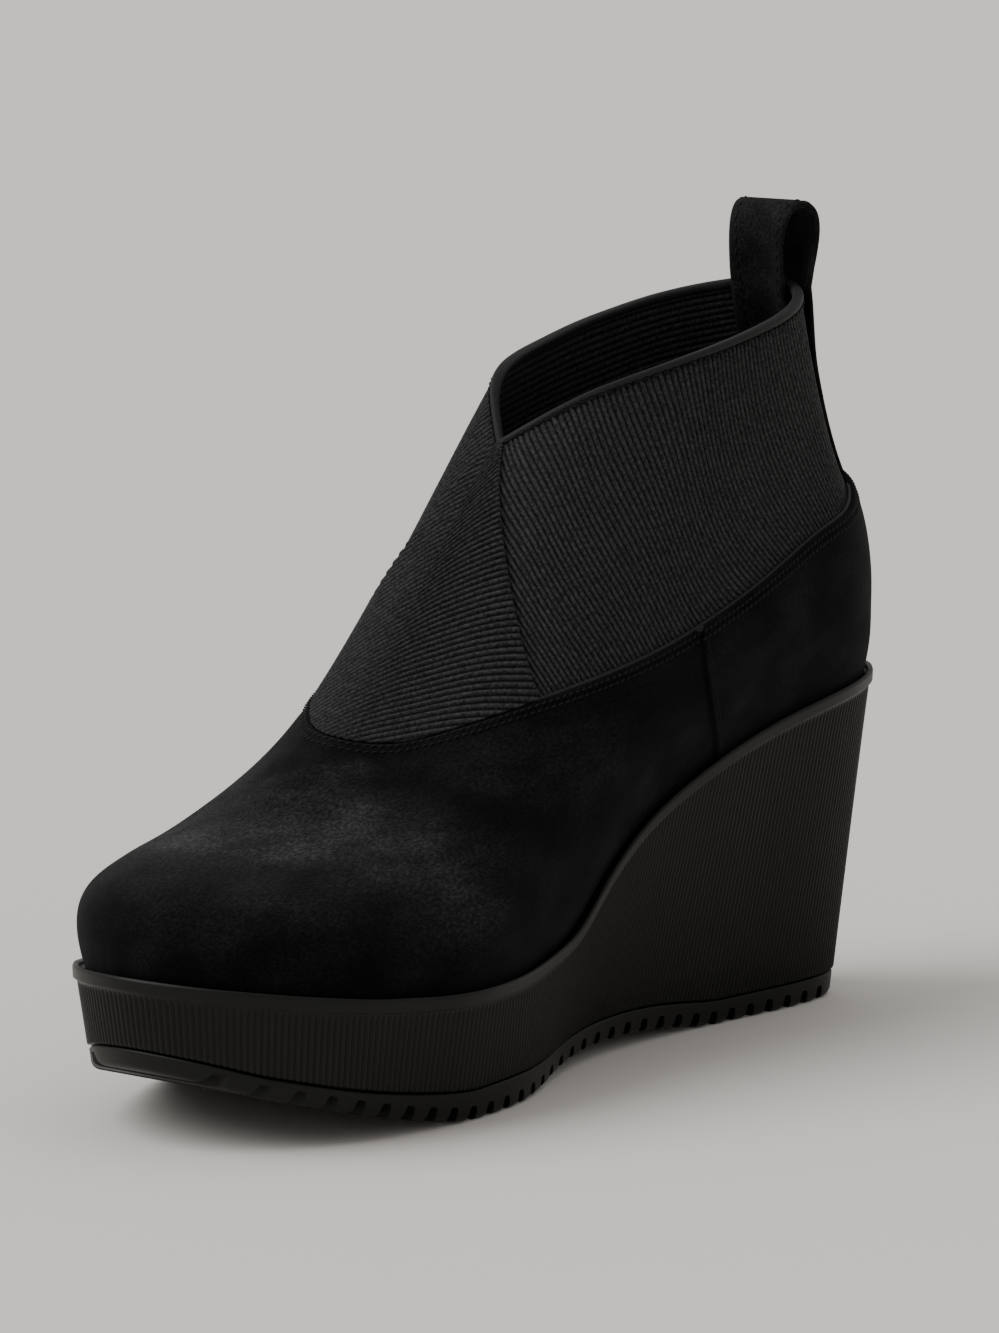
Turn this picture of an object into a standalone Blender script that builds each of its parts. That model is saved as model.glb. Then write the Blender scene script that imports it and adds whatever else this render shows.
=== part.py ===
# Right platform wedge shoe with crossed elastic bands
#
# The toe points along -Y, the heel along +Y, and +X is the inner side of the foot.
# The origin lies on the floor, under the middle of the sole. Sizes below are in
# millimetres, and every object is made in metres.

import math
from collections import namedtuple

import bmesh
import bpy
import numpy as np
from mathutils import Vector

MM = 0.001

# Sole sizes

LENGTH = 237.5            # toe tip to heel back
BALL_WIDTH = 89.0         # across the rim at the ball
PLATFORM_HEIGHT = 28.4    # floor to rim, under the ball
HEEL_CLIMB = 45.6         # how far the rim rises from the ball to the heel
TOE_RIM_LIFT = 7.1        # how far the rim rises from the ball to the toe
TOE_SPRING = 17.0         # floor to the tread at the toe tip
ARCH_LIFT = 3.0           # floor to the tread under the arch
OUTSOLE_THICKNESS = 5.5
LIP_HEIGHT = 3.4          # rounded bead along the rim
LIP_WIDTH = 1.4
LIP_STEP = 0.45           # how far the bead stands out over the ribs
RECESS_DEPTH = 1.2        # bed for the upper inside the bead
RIB_PITCH = 1.44
RIB_DEPTH = 0.45
GROOVE_HEIGHT = 0.6       # line between the ribs and the outsole
GROOVE_DEPTH = 0.8
OUTSOLE_STEP = 0.3        # how far the outsole lies in from the ribs' foot
TREAD_CHAMFER = 1.4
LUG_PITCH = 6.4
LUG_GROOVE_WIDTH = 3.3    # at the tread
LUG_GROOVE_TOP = 2.1      # at its closed end
LUG_GROOVE_DEPTH = 3.2
LUG_TOE_MARGIN = 9.0      # plain stretch behind the toe tip
LUG_HEEL_MARGIN = 11.0    # plain stretch before the heel back

# Upper sizes

UPPER_RISE = 85.0         # rim to collar at the heel back
COLLAR_WIDTH = 45.0       # across the outside of the collar
INSTEP_WIDTH = 66.0       # across the suede's top edge
ELASTIC_WALL = 1.6
SUEDE_PROUD = 1.2         # step at the suede's top edge
QUARTER_PROUD = 0.5       # step at the quarter's side seam
BAND_THICKNESS = 0.8      # upper of the two crossed bands
BAND_TIP = 0.06           # share of the band's width that its blunt tip keeps
BINDING_HEIGHT = 2.6
BINDING_WIDTH = 2.9
LOOP_WIDTH = 19.5
LOOP_THICKNESS = 1.7
LOOP_RISE = 18.0          # collar to the top of the loop
LOOP_DEPTH = 13.0         # across the loop, front to back
LOOP_OUTER_LEG = 42.0     # strip outside the shoe, collar to its lower end
LOOP_INNER_LEG = 35.0     # strip inside the shoe
LOOP_SQUARENESS = 0.6     # 1 is a round arch, less is squarer
INSOLE_THICKNESS = 3.0
INSOLE_ROUNDING = 0.8     # bevel along its top edge
FIT_GAP = 0.3             # clearance between pieces that touch
FOOT_CLEARANCE = 0.8      # bead to the foot of the upper, which leans out over it
INSOLE_CLEARANCE = 1.2    # insole's edge to the inside of the upper
BAND_CLEARANCE = 0.4      # crossing band to the curved wall under it
LOOP_CLEARANCE = 0.6      # strip of the loop to the curved wall that carries it

# Tables
#
# `turn` runs once round the shoe: 0 at the toe, 0.25 at the inner side, 0.5 at the heel
# back, 0.75 at the outer side. `at` is a share of LENGTH from the toe tip, `out` a share
# of half the width that the table belongs to, towards the inner side.

Outline = namedtuple("Outline", "turn at out")

RIM_OUTLINE = [
    Outline(0.000, 0.000, 0.106),
    Outline(0.028, 0.017, 0.427),
    Outline(0.060, 0.063, 0.703),
    Outline(0.089, 0.120, 0.865),
    Outline(0.120, 0.187, 0.953),
    Outline(0.160, 0.274, 0.998),
    Outline(0.205, 0.381, 0.854),
    Outline(0.245, 0.467, 0.715),
    Outline(0.280, 0.547, 0.643),
    Outline(0.330, 0.662, 0.613),
    Outline(0.390, 0.808, 0.593),
    Outline(0.430, 0.914, 0.535),
    Outline(0.465, 0.987, 0.303),
    Outline(0.500, 1.000, -0.090),
    Outline(0.535, 0.968, -0.483),
    Outline(0.570, 0.891, -0.674),
    Outline(0.610, 0.794, -0.773),
    Outline(0.670, 0.651, -0.861),
    Outline(0.720, 0.531, -0.912),
    Outline(0.755, 0.448, -0.962),
    Outline(0.795, 0.355, -1.000),
    Outline(0.840, 0.247, -0.980),
    Outline(0.885, 0.156, -0.818),
    Outline(0.932, 0.069, -0.557),
    Outline(0.952, 0.036, -0.393),
    Outline(0.970, 0.015, -0.225),
]

FLOOR_OUTLINE = [
    Outline(0.000, 0.014, 0.101),
    Outline(0.028, 0.029, 0.391),
    Outline(0.060, 0.071, 0.649),
    Outline(0.089, 0.126, 0.798),
    Outline(0.120, 0.190, 0.870),
    Outline(0.160, 0.274, 0.894),
    Outline(0.205, 0.375, 0.804),
    Outline(0.245, 0.450, 0.629),
    Outline(0.280, 0.527, 0.483),
    Outline(0.330, 0.634, 0.389),
    Outline(0.390, 0.777, 0.371),
    Outline(0.430, 0.869, 0.382),
    Outline(0.465, 0.941, 0.265),
    Outline(0.500, 0.955, -0.090),
    Outline(0.535, 0.934, -0.393),
    Outline(0.570, 0.865, -0.539),
    Outline(0.610, 0.775, -0.584),
    Outline(0.670, 0.630, -0.674),
    Outline(0.720, 0.518, -0.793),
    Outline(0.755, 0.440, -0.888),
    Outline(0.795, 0.355, -0.948),
    Outline(0.840, 0.251, -0.926),
    Outline(0.885, 0.161, -0.755),
    Outline(0.932, 0.077, -0.503),
    Outline(0.952, 0.048, -0.353),
    Outline(0.970, 0.028, -0.200),
]

# Heights along the sole: shares of TOE_RIM_LIFT, HEEL_CLIMB, TOE_SPRING, ARCH_LIFT and
# OUTSOLE_THICKNESS

Profile = namedtuple("Profile", "at rim_toe rim_heel tread_toe tread_arch outsole")

SOLE_PROFILE = [
    Profile(0.000, 1.000, 0.000, 1.000, 0.0, 0.80),
    Profile(0.018, 0.894, 0.000, 0.900, 0.0, 0.81),
    Profile(0.040, 0.785, 0.000, 0.785, 0.0, 0.82),
    Profile(0.063, 0.669, 0.000, 0.665, 0.0, 0.83),
    Profile(0.090, 0.535, 0.000, 0.560, 0.0, 0.84),
    Profile(0.120, 0.394, 0.000, 0.450, 0.0, 0.86),
    Profile(0.153, 0.246, 0.000, 0.335, 0.0, 0.90),
    Profile(0.187, 0.141, 0.000, 0.225, 0.0, 0.97),
    Profile(0.222, 0.050, 0.000, 0.125, 0.0, 1.05),
    Profile(0.284, 0.000, 0.000, 0.000, 0.0, 1.18),
    Profile(0.363, 0.000, 0.005, 0.000, 0.0, 1.20),
    Profile(0.427, 0.000, 0.040, 0.000, 0.2, 1.12),
    Profile(0.469, 0.000, 0.105, 0.000, 0.6, 1.04),
    Profile(0.512, 0.000, 0.265, 0.000, 0.9, 1.00),
    Profile(0.576, 0.000, 0.490, 0.000, 1.0, 1.00),
    Profile(0.660, 0.000, 0.680, 0.000, 0.7, 1.00),
    Profile(0.745, 0.000, 0.815, 0.000, 0.0, 1.00),
    Profile(0.830, 0.000, 0.905, 0.000, 0.0, 1.00),
    Profile(0.915, 0.000, 0.965, 0.000, 0.0, 1.00),
    Profile(1.000, 0.000, 1.000, 0.000, 0.0, 1.00),
]

# Spots where the tread lies flat on the floor, as shares of LENGTH from the toe tip

BALL_FLAT = (0.289, 0.385)
HEEL_FLAT_START = 0.745

# Section of the bead: `inset` is a share of LIP_WIDTH from its outermost line, `drop` a
# share of LIP_HEIGHT under its crown

Bead = namedtuple("Bead", "inset drop")

BEAD_SECTION = [
    Bead(1.00, 0.06),
    Bead(0.60, 0.00),
    Bead(0.20, 0.09),
    Bead(0.00, 0.32),
    Bead(0.07, 0.86),
]

# Lines of the upper. `up` is a share of UPPER_RISE over the straight slope that climbs
# from the platform under the toe tip to the rim at the heel back.

Line = namedtuple("Line", "turn at out up")

SUEDE_EDGE = [
    Line(0.000, 0.292, 0.000, 0.386),
    Line(0.050, 0.318, 0.303, 0.361),
    Line(0.100, 0.358, 0.576, 0.373),
    Line(0.150, 0.404, 0.773, 0.390),
    Line(0.200, 0.459, 0.909, 0.400),
    Line(0.250, 0.529, 0.985, 0.404),
    Line(0.310, 0.617, 1.018, 0.421),
    Line(0.370, 0.732, 0.961, 0.459),
    Line(0.420, 0.830, 0.848, 0.491),
    Line(0.460, 0.906, 0.652, 0.500),
    Line(0.500, 0.970, 0.000, 0.531),
    Line(0.540, 0.906, -0.667, 0.498),
    Line(0.580, 0.830, -0.864, 0.488),
    Line(0.630, 0.735, -0.961, 0.457),
    Line(0.690, 0.625, -1.015, 0.425),
    Line(0.750, 0.538, -1.006, 0.398),
    Line(0.800, 0.469, -0.915, 0.392),
    Line(0.850, 0.408, -0.773, 0.395),
    Line(0.900, 0.356, -0.576, 0.405),
    Line(0.950, 0.309, -0.303, 0.394),
]

COLLAR_EDGE = [
    Line(0.000, 0.512, 0.000, 0.941),
    Line(0.050, 0.529, 0.311, 0.988),
    Line(0.100, 0.558, 0.600, 1.028),
    Line(0.160, 0.606, 0.822, 1.046),
    Line(0.220, 0.668, 0.969, 1.051),
    Line(0.280, 0.724, 1.000, 1.048),
    Line(0.340, 0.777, 0.960, 1.045),
    Line(0.400, 0.833, 0.831, 1.042),
    Line(0.450, 0.886, 0.533, 1.045),
    Line(0.500, 0.914, 0.000, 1.053),
    Line(0.550, 0.886, -0.556, 1.053),
    Line(0.600, 0.838, -0.862, 1.052),
    Line(0.660, 0.788, -0.991, 1.051),
    Line(0.720, 0.735, -1.013, 1.053),
    Line(0.780, 0.675, -0.947, 1.054),
    Line(0.840, 0.617, -0.791, 1.060),
    Line(0.900, 0.564, -0.533, 1.047),
    Line(0.950, 0.535, -0.267, 0.997),
    Line(1.000, 0.512, 0.000, 0.941),
]

# How the wall runs between the lines. `lean` tips its foot outward, `grip` is how long it
# holds that direction, and `hold` how long it keeps its direction below the suede's edge,
# both as shares of the chord. `swing` turns it at that edge from the lower chord (0) to
# the upper one (1), and `upright` straightens it at the collar.

Wall = namedtuple("Wall", "turn lean grip hold swing upright")

WALL_SHAPE = [
    Wall(0.00, 0.26, 0.39, 0.64, 0.50, 0.00),
    Wall(0.08, 0.28, 0.37, 0.57, 0.50, 0.00),
    Wall(0.16, 0.30, 0.34, 0.42, 0.60, 0.00),
    Wall(0.25, 0.35, 0.36, 0.34, 0.80, 0.10),
    Wall(0.35, 0.35, 0.36, 0.34, 1.10, 0.20),
    Wall(0.43, 0.30, 0.36, 0.34, 1.50, 0.40),
    Wall(0.50, 0.14, 0.36, 0.34, 1.80, 0.50),
    Wall(0.57, 0.30, 0.36, 0.34, 1.50, 0.40),
    Wall(0.65, 0.30, 0.36, 0.34, 1.10, 0.20),
    Wall(0.75, 0.30, 0.36, 0.34, 0.80, 0.10),
    Wall(0.84, 0.28, 0.34, 0.42, 0.60, 0.00),
    Wall(0.92, 0.32, 0.40, 0.63, 0.50, 0.00),
]

COLLAR_HOLD = 0.34                 # how long the elastic keeps its direction at each end
SEAM_TURNS = (0.31, 0.69)          # side seams between vamp and quarter
SEAM_REACH = 0.0012                # half of the seam's step
SEAM_DRIFT = 0.034                 # how far each seam runs back on its way to the sole
SEAM_SPAN = 0.12                   # stretch whose columns lean with the seam
BAND_TURNS = (0.172, -0.162)       # lower corners of the crossing band
STEEP_CLIMB = (0.190, 0.300)       # rim's steep climb, counted from the heel back
HEEL_BEND = 0.060                  # tight bend round the heel back
SUEDE_STEP_LEVEL = 0.012           # levels that the step at the suede's edge takes up


# Curves

def knot_bends(knots, values, closed):
    """Second derivatives of the smooth cubic through the values."""
    count = len(knots)
    step = np.diff(knots)
    slope = np.diff(values) / step
    matrix = np.eye(count)
    right = np.zeros(count)
    for i in range(1, count - 1):
        matrix[i, i - 1] = step[i - 1]
        matrix[i, i] = 2 * (step[i - 1] + step[i])
        matrix[i, i + 1] = step[i]
        right[i] = 6 * (slope[i] - slope[i - 1])
    if closed:
        matrix[0, 0] = 2 * (step[-1] + step[0])
        matrix[0, 1] = step[0]
        matrix[0, -2] = step[-1]
        right[0] = 6 * (slope[0] - slope[-1])
        matrix[-1, 0] = -1
    return np.linalg.solve(matrix, right)


def read_table(rows, field, where, closed=False):
    """The named column as a smooth curve over the first column, read at `where`."""
    knots = np.array([row[0] for row in rows], float)
    values = np.array([getattr(row, field) for row in rows], float)
    where = np.asarray(where, float)
    if closed:
        knots = np.append(knots, knots[0] + 1)
        values = np.append(values, values[0])
        where = np.mod(where, 1.0)
    bends = knot_bends(knots, values, closed)
    i = np.clip(np.searchsorted(knots, where, side="right") - 1, 0, len(knots) - 2)
    step = knots[i + 1] - knots[i]
    b = (where - knots[i]) / step
    a = 1 - b
    return (a * values[i] + b * values[i + 1]
            + ((a**3 - a) * bends[i] + (b**3 - b) * bends[i + 1]) * step**2 / 6)


def unit(vectors):
    return vectors / np.linalg.norm(vectors, axis=-1, keepdims=True)


def stack(x, y, z):
    return np.stack(np.broadcast_arrays(x, y, z), axis=-1).astype(float)


# Sole form

def along(at):
    return (at - 0.5) * LENGTH


def rim_height(at):
    return (PLATFORM_HEIGHT + TOE_RIM_LIFT * read_table(SOLE_PROFILE, "rim_toe", at)
            + HEEL_CLIMB * read_table(SOLE_PROFILE, "rim_heel", at))


def tread_height(at):
    lift = (TOE_SPRING * read_table(SOLE_PROFILE, "tread_toe", at)
            + ARCH_LIFT * read_table(SOLE_PROFILE, "tread_arch", at))
    flat = ((at > BALL_FLAT[0]) & (at < BALL_FLAT[1])) | (at > HEEL_FLAT_START)
    return np.where(flat, 0.0, np.maximum(lift, 0.0))


def outsole_height(turn):
    at = read_table(FLOOR_OUTLINE, "at", turn, closed=True)
    return OUTSOLE_THICKNESS * read_table(SOLE_PROFILE, "outsole", at)


def rim_line(turn):
    at = read_table(RIM_OUTLINE, "at", turn, closed=True)
    out = read_table(RIM_OUTLINE, "out", turn, closed=True)
    return stack(out * BALL_WIDTH / 2, along(at), rim_height(at))


def tread_line(turn):
    at = read_table(FLOOR_OUTLINE, "at", turn, closed=True)
    out = read_table(FLOOR_OUTLINE, "out", turn, closed=True)
    return stack(out * BALL_WIDTH / 2, along(at), tread_height(at))


def outward(line, turn, reach=0.002):
    """Level direction square to a line round the shoe, pointing away from the foot."""
    run = line(turn + reach) - line(turn - reach)
    return unit(stack(run[..., 1], -run[..., 0], 0.0))


def sole_side(turn, height_over_tread=None, depth_under_rim=None, inset=0.0):
    """A point on the slanting side of the sole, `inset` in from its surface."""
    top = rim_line(turn)
    foot = tread_line(turn)
    tall = top[..., 2] - foot[..., 2]
    if height_over_tread is not None:
        share = height_over_tread / tall
    else:
        share = 1 - depth_under_rim / tall
    point = foot + (top - foot) * share[..., None]
    return point - outward(rim_line, turn) * np.asarray(inset)[..., None]


def even_turns(count, line):
    """Turns that divide a line round the shoe into equal lengths."""
    fine = np.linspace(0.0, 1.0, 2401)
    points = line(fine)
    length = np.append(0.0, np.cumsum(np.linalg.norm(np.diff(points, axis=0), axis=1)))
    return np.interp(np.arange(count) / count * length[-1], length, fine)


# Upper form

def slope_height(at):
    return PLATFORM_HEIGHT + HEEL_CLIMB * at


def feather_line(turn):
    """Foot of the upper's base surface, in the bed behind the bead."""
    inset = LIP_WIDTH + FOOT_CLEARANCE + SUEDE_PROUD + QUARTER_PROUD
    point = rim_line(turn) - outward(rim_line, turn) * inset
    point[..., 2] += FIT_GAP - RECESS_DEPTH
    return point


def upper_line(rows, width, turn, closed):
    at = read_table(rows, "at", turn, closed)
    out = read_table(rows, "out", turn, closed)
    up = read_table(rows, "up", turn, closed)
    return stack(out * width / 2, along(at), slope_height(at) + up * UPPER_RISE)


def suede_edge(turn):
    return upper_line(SUEDE_EDGE, INSTEP_WIDTH, turn, True)


def collar_edge(turn):
    return upper_line(COLLAR_EDGE, COLLAR_WIDTH, np.mod(turn, 1.0), False)


def bezier(a, b, c, d, t):
    t = t[..., None]
    s = 1 - t
    return s**3 * a + 3 * s**2 * t * b + 3 * s * t**2 * c + t**3 * d


def skin(turn, level):
    """Base surface of the upper: level 0 at the sole, 1 at the suede's edge, 2 at the
    collar."""
    turn, level = np.broadcast_arrays(np.asarray(turn, float), np.asarray(level, float))
    foot = feather_line(turn)
    edge = suede_edge(turn)
    collar = collar_edge(turn)
    lean = read_table(WALL_SHAPE, "lean", turn, closed=True)[..., None]
    grip = read_table(WALL_SHAPE, "grip", turn, closed=True)[..., None]
    hold = read_table(WALL_SHAPE, "hold", turn, closed=True)[..., None]
    swing = read_table(WALL_SHAPE, "swing", turn, closed=True)[..., None]
    upright = read_table(WALL_SHAPE, "upright", turn, closed=True)[..., None]
    up = np.array([0.0, 0.0, 1.0])
    low_chord = edge - foot
    top_chord = collar - edge
    low_size = np.linalg.norm(low_chord, axis=-1, keepdims=True)
    top_size = np.linalg.norm(top_chord, axis=-1, keepdims=True)
    foot_way = unit(up + lean * outward(rim_line, turn))
    edge_way = unit(unit(low_chord) * (1 - swing) + unit(top_chord) * swing)
    collar_way = unit(unit(top_chord) + upright * up)
    low = bezier(foot, foot + foot_way * grip * low_size,
                 edge - edge_way * hold * low_size, edge, np.clip(level, 0, 1))
    top = bezier(edge, edge + edge_way * COLLAR_HOLD * top_size,
                 collar - collar_way * COLLAR_HOLD * top_size, collar, np.clip(level - 1, 0, 1))
    return np.where((level < 1)[..., None], low, top)


def skin_way(turn, level, reach=0.004):
    """Direction up the wall at a point of the base surface."""
    lower = np.clip(level - reach, 0, 2)
    return unit(skin(turn, np.clip(level + reach, 0, 2)) - skin(turn, lower))


def skin_out(turn, level, reach=0.004):
    """Outward normal of the base surface."""
    round_way = unit(skin(turn + reach, level) - skin(turn - reach, level))
    return unit(np.cross(round_way, skin_way(turn, level)))


def wall_point(turn, level, offset):
    turn, level, offset = np.broadcast_arrays(turn, level, offset)
    return skin(turn, level) + skin_out(turn, level) * np.asarray(offset)[..., None]


def level_below_collar(turn, drop):
    """Level that lies `drop` under the collar's edge along the wall."""
    reach = 0.02
    run = skin(turn, np.full_like(turn, 2.0)) - skin(turn, np.full_like(turn, 2.0 - reach))
    return 2.0 - drop * reach / np.linalg.norm(run, axis=-1)


# Meshes

class Shell:
    """Collects rings of points and the faces between them."""

    def __init__(self):
        self.points = []
        self.faces = []

    def ring(self, points):
        first = len(self.points)
        self.points.extend(points)
        return list(range(first, len(self.points)))

    def band(self, low, high):
        """Quads between two closed rings of the same count."""
        for i in range(len(low)):
            j = (i + 1) % len(low)
            self.faces.append((low[i], low[j], high[j], high[i]))

    def strip(self, low, high):
        """Quads between two open rows of the same count."""
        for i in range(len(low) - 1):
            self.faces.append((low[i], low[i + 1], high[i + 1], high[i]))

    def fringe(self, coarse, fine):
        """Faces between a ring and a finer one that has a whole number of points to each."""
        times = len(fine) // len(coarse)
        for i in range(len(coarse)):
            j = (i + 1) % len(coarse)
            run = [fine[(i * times + k) % len(fine)] for k in range(times + 1)]
            half = times // 2
            for k in range(times):
                corner = coarse[i] if k < half else coarse[j]
                self.faces.append((run[k], run[k + 1], corner))
            self.faces.append((run[half], coarse[j], coarse[i]))

    def cover(self, ring, inner=1):
        """Closes a ring by rows from its inner side to its outer side."""
        count = len(ring)
        rows = [[ring[0]]]
        for i in range(1, count // 2):
            start = np.array(self.points[ring[i]])
            end = np.array(self.points[ring[count - i]])
            middle = [start + (end - start) * (k + 1) / (inner + 1) for k in range(inner)]
            rows.append([ring[i]] + self.ring(middle) + [ring[count - i]])
        rows.append([ring[count // 2]])
        for row, after in zip(rows, rows[1:]):
            if len(row) == 1:
                for k in range(len(after) - 1):
                    self.faces.append((row[0], after[k], after[k + 1]))
            elif len(after) == 1:
                for k in range(len(row) - 1):
                    self.faces.append((row[k], after[0], row[k + 1]))
            else:
                self.strip(row, after)

    def build(self, name, material, sharp_angle=35.0):
        mesh = bpy.data.meshes.new(name)
        work = bmesh.new()
        corners = [work.verts.new(Vector(point) * MM) for point in self.points]
        for face in self.faces:
            work.faces.new([corners[i] for i in face])
        bmesh.ops.recalc_face_normals(work, faces=work.faces[:])
        bmesh.ops.triangulate(work, faces=work.faces[:])
        work.to_mesh(mesh)
        work.free()
        mesh.shade_smooth()
        mesh.set_sharp_from_angle(angle=math.radians(sharp_angle))
        mesh.materials.append(material)
        piece = bpy.data.objects.new(name, mesh)
        bpy.context.scene.collection.objects.link(piece)
        return piece


def finish(name, colour, roughness, metallic=0.0):
    material = bpy.data.materials.new(name)
    material.use_nodes = True
    shader = material.node_tree.nodes["Principled BSDF"]
    shader.inputs["Base Color"].default_value = (*colour, 1.0)
    shader.inputs["Roughness"].default_value = roughness
    shader.inputs["Metallic"].default_value = metallic
    return material


# Upper

def bend_turns(count=44):
    """Turns round the shoe, twice as close where the form bends most."""
    turns = [i / count for i in range(count)]
    extra = []
    for turn in turns:
        between = turn + 0.5 / count
        from_heel = abs(between - 0.5)
        if STEEP_CLIMB[0] < from_heel < STEEP_CLIMB[1] or from_heel < HEEL_BEND:
            extra.append(between)
    return sorted(turns + extra)


def upper_columns():
    """Turns of the upper's columns, with a close pair at each side seam."""
    turns = bend_turns()
    for seam in SEAM_TURNS:
        nearest = min(turns, key=lambda turn: abs(turn - seam))
        turns.remove(nearest)
        turns += [seam - SEAM_REACH, seam + SEAM_REACH]
    return np.array(sorted(turns))


def leaning(turns, level):
    """Turns of the upper's columns at a level: they follow the side seams down."""
    shift = np.zeros_like(turns)
    for seam, way in zip(SEAM_TURNS, (1, -1)):
        near = np.clip(1 - np.abs(turns - seam) / SEAM_SPAN, 0, 1)
        shift += way * SEAM_DRIFT * (1 - level) * near**2 * (3 - 2 * near)
    return turns + shift


def build_upper(material):
    turns = upper_columns()
    quarter = (turns > SEAM_TURNS[0]) & (turns < SEAM_TURNS[1])
    suede = SUEDE_PROUD + np.where(quarter, QUARTER_PROUD, 0.0)
    top = level_below_collar(turns, BINDING_HEIGHT / 2 + FIT_GAP)
    shell = Shell()
    rings = []
    foot = leaning(turns, 0.0)
    away = outward(rim_line, foot)
    rings.append(shell.ring(feather_line(foot) + away * suede[:, None]))
    for level in (0.08, 0.18, 0.3, 0.44, 0.6, 0.8, 1.0):
        rings.append(shell.ring(wall_point(leaning(turns, level), level, suede)))
    for share in (0.0, 0.2, 0.4, 0.6, 0.8, 1.0):
        rings.append(shell.ring(wall_point(turns, 1 + (top - 1) * share, 0.0)))
    for share in (1.0, 0.75, 0.5, 0.25, 0.0):
        rings.append(shell.ring(wall_point(turns, 1 + (top - 1) * share, -ELASTIC_WALL)))
    for level in (0.7, 0.4, 0.1):
        rings.append(shell.ring(wall_point(leaning(turns, level), level, -ELASTIC_WALL)))
    rings.append(shell.ring(feather_line(foot) - away * ELASTIC_WALL))
    for low, high in zip(rings, rings[1:] + rings[:1]):
        shell.band(low, high)
    return shell.build("upper", material)


def build_crossing_band(material, rows=9, columns=14):
    """Triangle of the upper band, from the notch of the collar to the suede's edge."""
    shell = Shell()
    faces = {}
    inner, outer = BAND_TURNS
    for side, offset in (("under", BAND_CLEARANCE),
                         ("over", BAND_CLEARANCE + BAND_THICKNESS)):
        faces[side] = []
        for row in range(rows + 1):
            share = BAND_TIP + (1 - BAND_TIP) * row / rows
            turn = np.linspace(outer, inner, columns + 1) * share
            start = level_below_collar(turn, BINDING_HEIGHT / 2 + 3 * FIT_GAP)
            end = 1 + SUEDE_STEP_LEVEL
            level = start + (end - start) * row / rows
            faces[side].append(shell.ring(wall_point(turn, level, offset)))
        for low, high in zip(faces[side], faces[side][1:]):
            shell.strip(low, high)
    edges = [(faces[s][0], [r[-1] for r in faces[s]], faces[s][-1][::-1],
              [r[0] for r in faces[s]][::-1]) for s in ("under", "over")]
    for under, over in zip(*edges):
        shell.strip(under, over)
    return shell.build("crossing_band", material)


# Collar

def build_binding(material, count=44):
    turns = np.arange(count) / count
    rim = np.full_like(turns, 2.0)
    middle = wall_point(turns, rim, -ELASTIC_WALL / 2)
    across = skin_out(turns, rim)
    up = skin_way(turns, rim)
    shell = Shell()
    rings = []
    corner = math.pi / 8
    for k in range(8):
        angle = corner + k * math.pi / 4
        reach = 1 / math.cos(corner)
        side = across * BINDING_WIDTH / 2 * min(1, max(-1, reach * math.cos(angle)))
        rise = up * BINDING_HEIGHT / 2 * min(1, max(-1, reach * math.sin(angle)))
        rings.append(shell.ring(middle + side + rise))
    for low, high in zip(rings, rings[1:] + rings[:1]):
        shell.band(low, high)
    return shell.build("collar_binding", material)


def heel_turns(level, reach):
    """Turns on both sides of the heel back whose points lie `reach` to each side."""
    fine = np.linspace(0.40, 0.60, 201)
    across = skin(fine, np.full_like(fine, level))[:, 0]
    return np.interp(-np.asarray(reach), -across, fine)


def build_pull_loop(material, columns=5, steps=11):
    across = np.linspace(-0.5, 0.5, columns) * LOOP_WIDTH
    wall_height = np.linalg.norm(skin(0.5, 2.0) - skin(0.5, 1.0))
    rows = {"near": [], "far": []}

    def leg(length, side):
        """Rows down the wall from the collar: near face, then far face."""
        found = []
        for share in (0.0, 0.08, 0.25, 0.45, 0.65, 0.83, 1.0):
            level = 2.0 - share * length / wall_height
            over_binding = max(0.0, 1 - 2 * share) * (BINDING_WIDTH - ELASTIC_WALL) / 2
            lift = LOOP_CLEARANCE + over_binding + (ELASTIC_WALL if side < 0 else 0.0)
            turns = heel_turns(level, across)
            found.append([wall_point(turns, level, side * lift),
                          wall_point(turns, level, side * (lift + LOOP_THICKNESS))])
        return found

    outer_leg = leg(LOOP_OUTER_LEG, 1)
    inner_leg = leg(LOOP_INNER_LEG, -1)
    for near, far in reversed(outer_leg):
        rows["near"].append(near)
        rows["far"].append(far)
    outside = (outer_leg[0][0] + outer_leg[0][1]) / 2
    inside = (inner_leg[0][0] + inner_leg[0][1]) / 2
    middle_column = columns // 2
    for k in range(1, steps):
        angle = math.pi * k / steps
        low = (1 + math.cos(angle)) / 2
        base = inside + (outside - inside) * low
        rise = LOOP_RISE * math.sin(angle) ** LOOP_SQUARENESS
        bulge = math.sin(angle) ** LOOP_SQUARENESS * math.cos(angle)
        flat = min(1.0, rise / LOOP_RISE)
        level_y = base[:, 1] + (base[:, 1].mean() - base[:, 1]) * flat
        level_z = base[:, 2] + (base[:, 2].mean() - base[:, 2]) * flat
        span = outside[middle_column, 1] - inside[middle_column, 1]
        spread = (LOOP_DEPTH - span) / 2 * bulge
        middle = stack(base[:, 0], level_y + spread, level_z + rise)
        way = np.array([0.0, math.cos(angle), math.sin(angle)])
        rows["near"].append(middle - way * LOOP_THICKNESS / 2)
        rows["far"].append(middle + way * LOOP_THICKNESS / 2)
    for near, far in inner_leg:
        rows["near"].append(near)
        rows["far"].append(far)
    shell = Shell()
    near = [shell.ring(row) for row in rows["near"]]
    far = [shell.ring(row) for row in rows["far"]]
    for side in (near, far):
        for low, high in zip(side, side[1:]):
            shell.strip(low, high)
    for edge in (0, -1):
        shell.strip([row[edge] for row in near], [row[edge] for row in far])
        shell.strip(near[edge], far[edge])
    return shell.build("pull_loop", material)


# Insole

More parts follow.
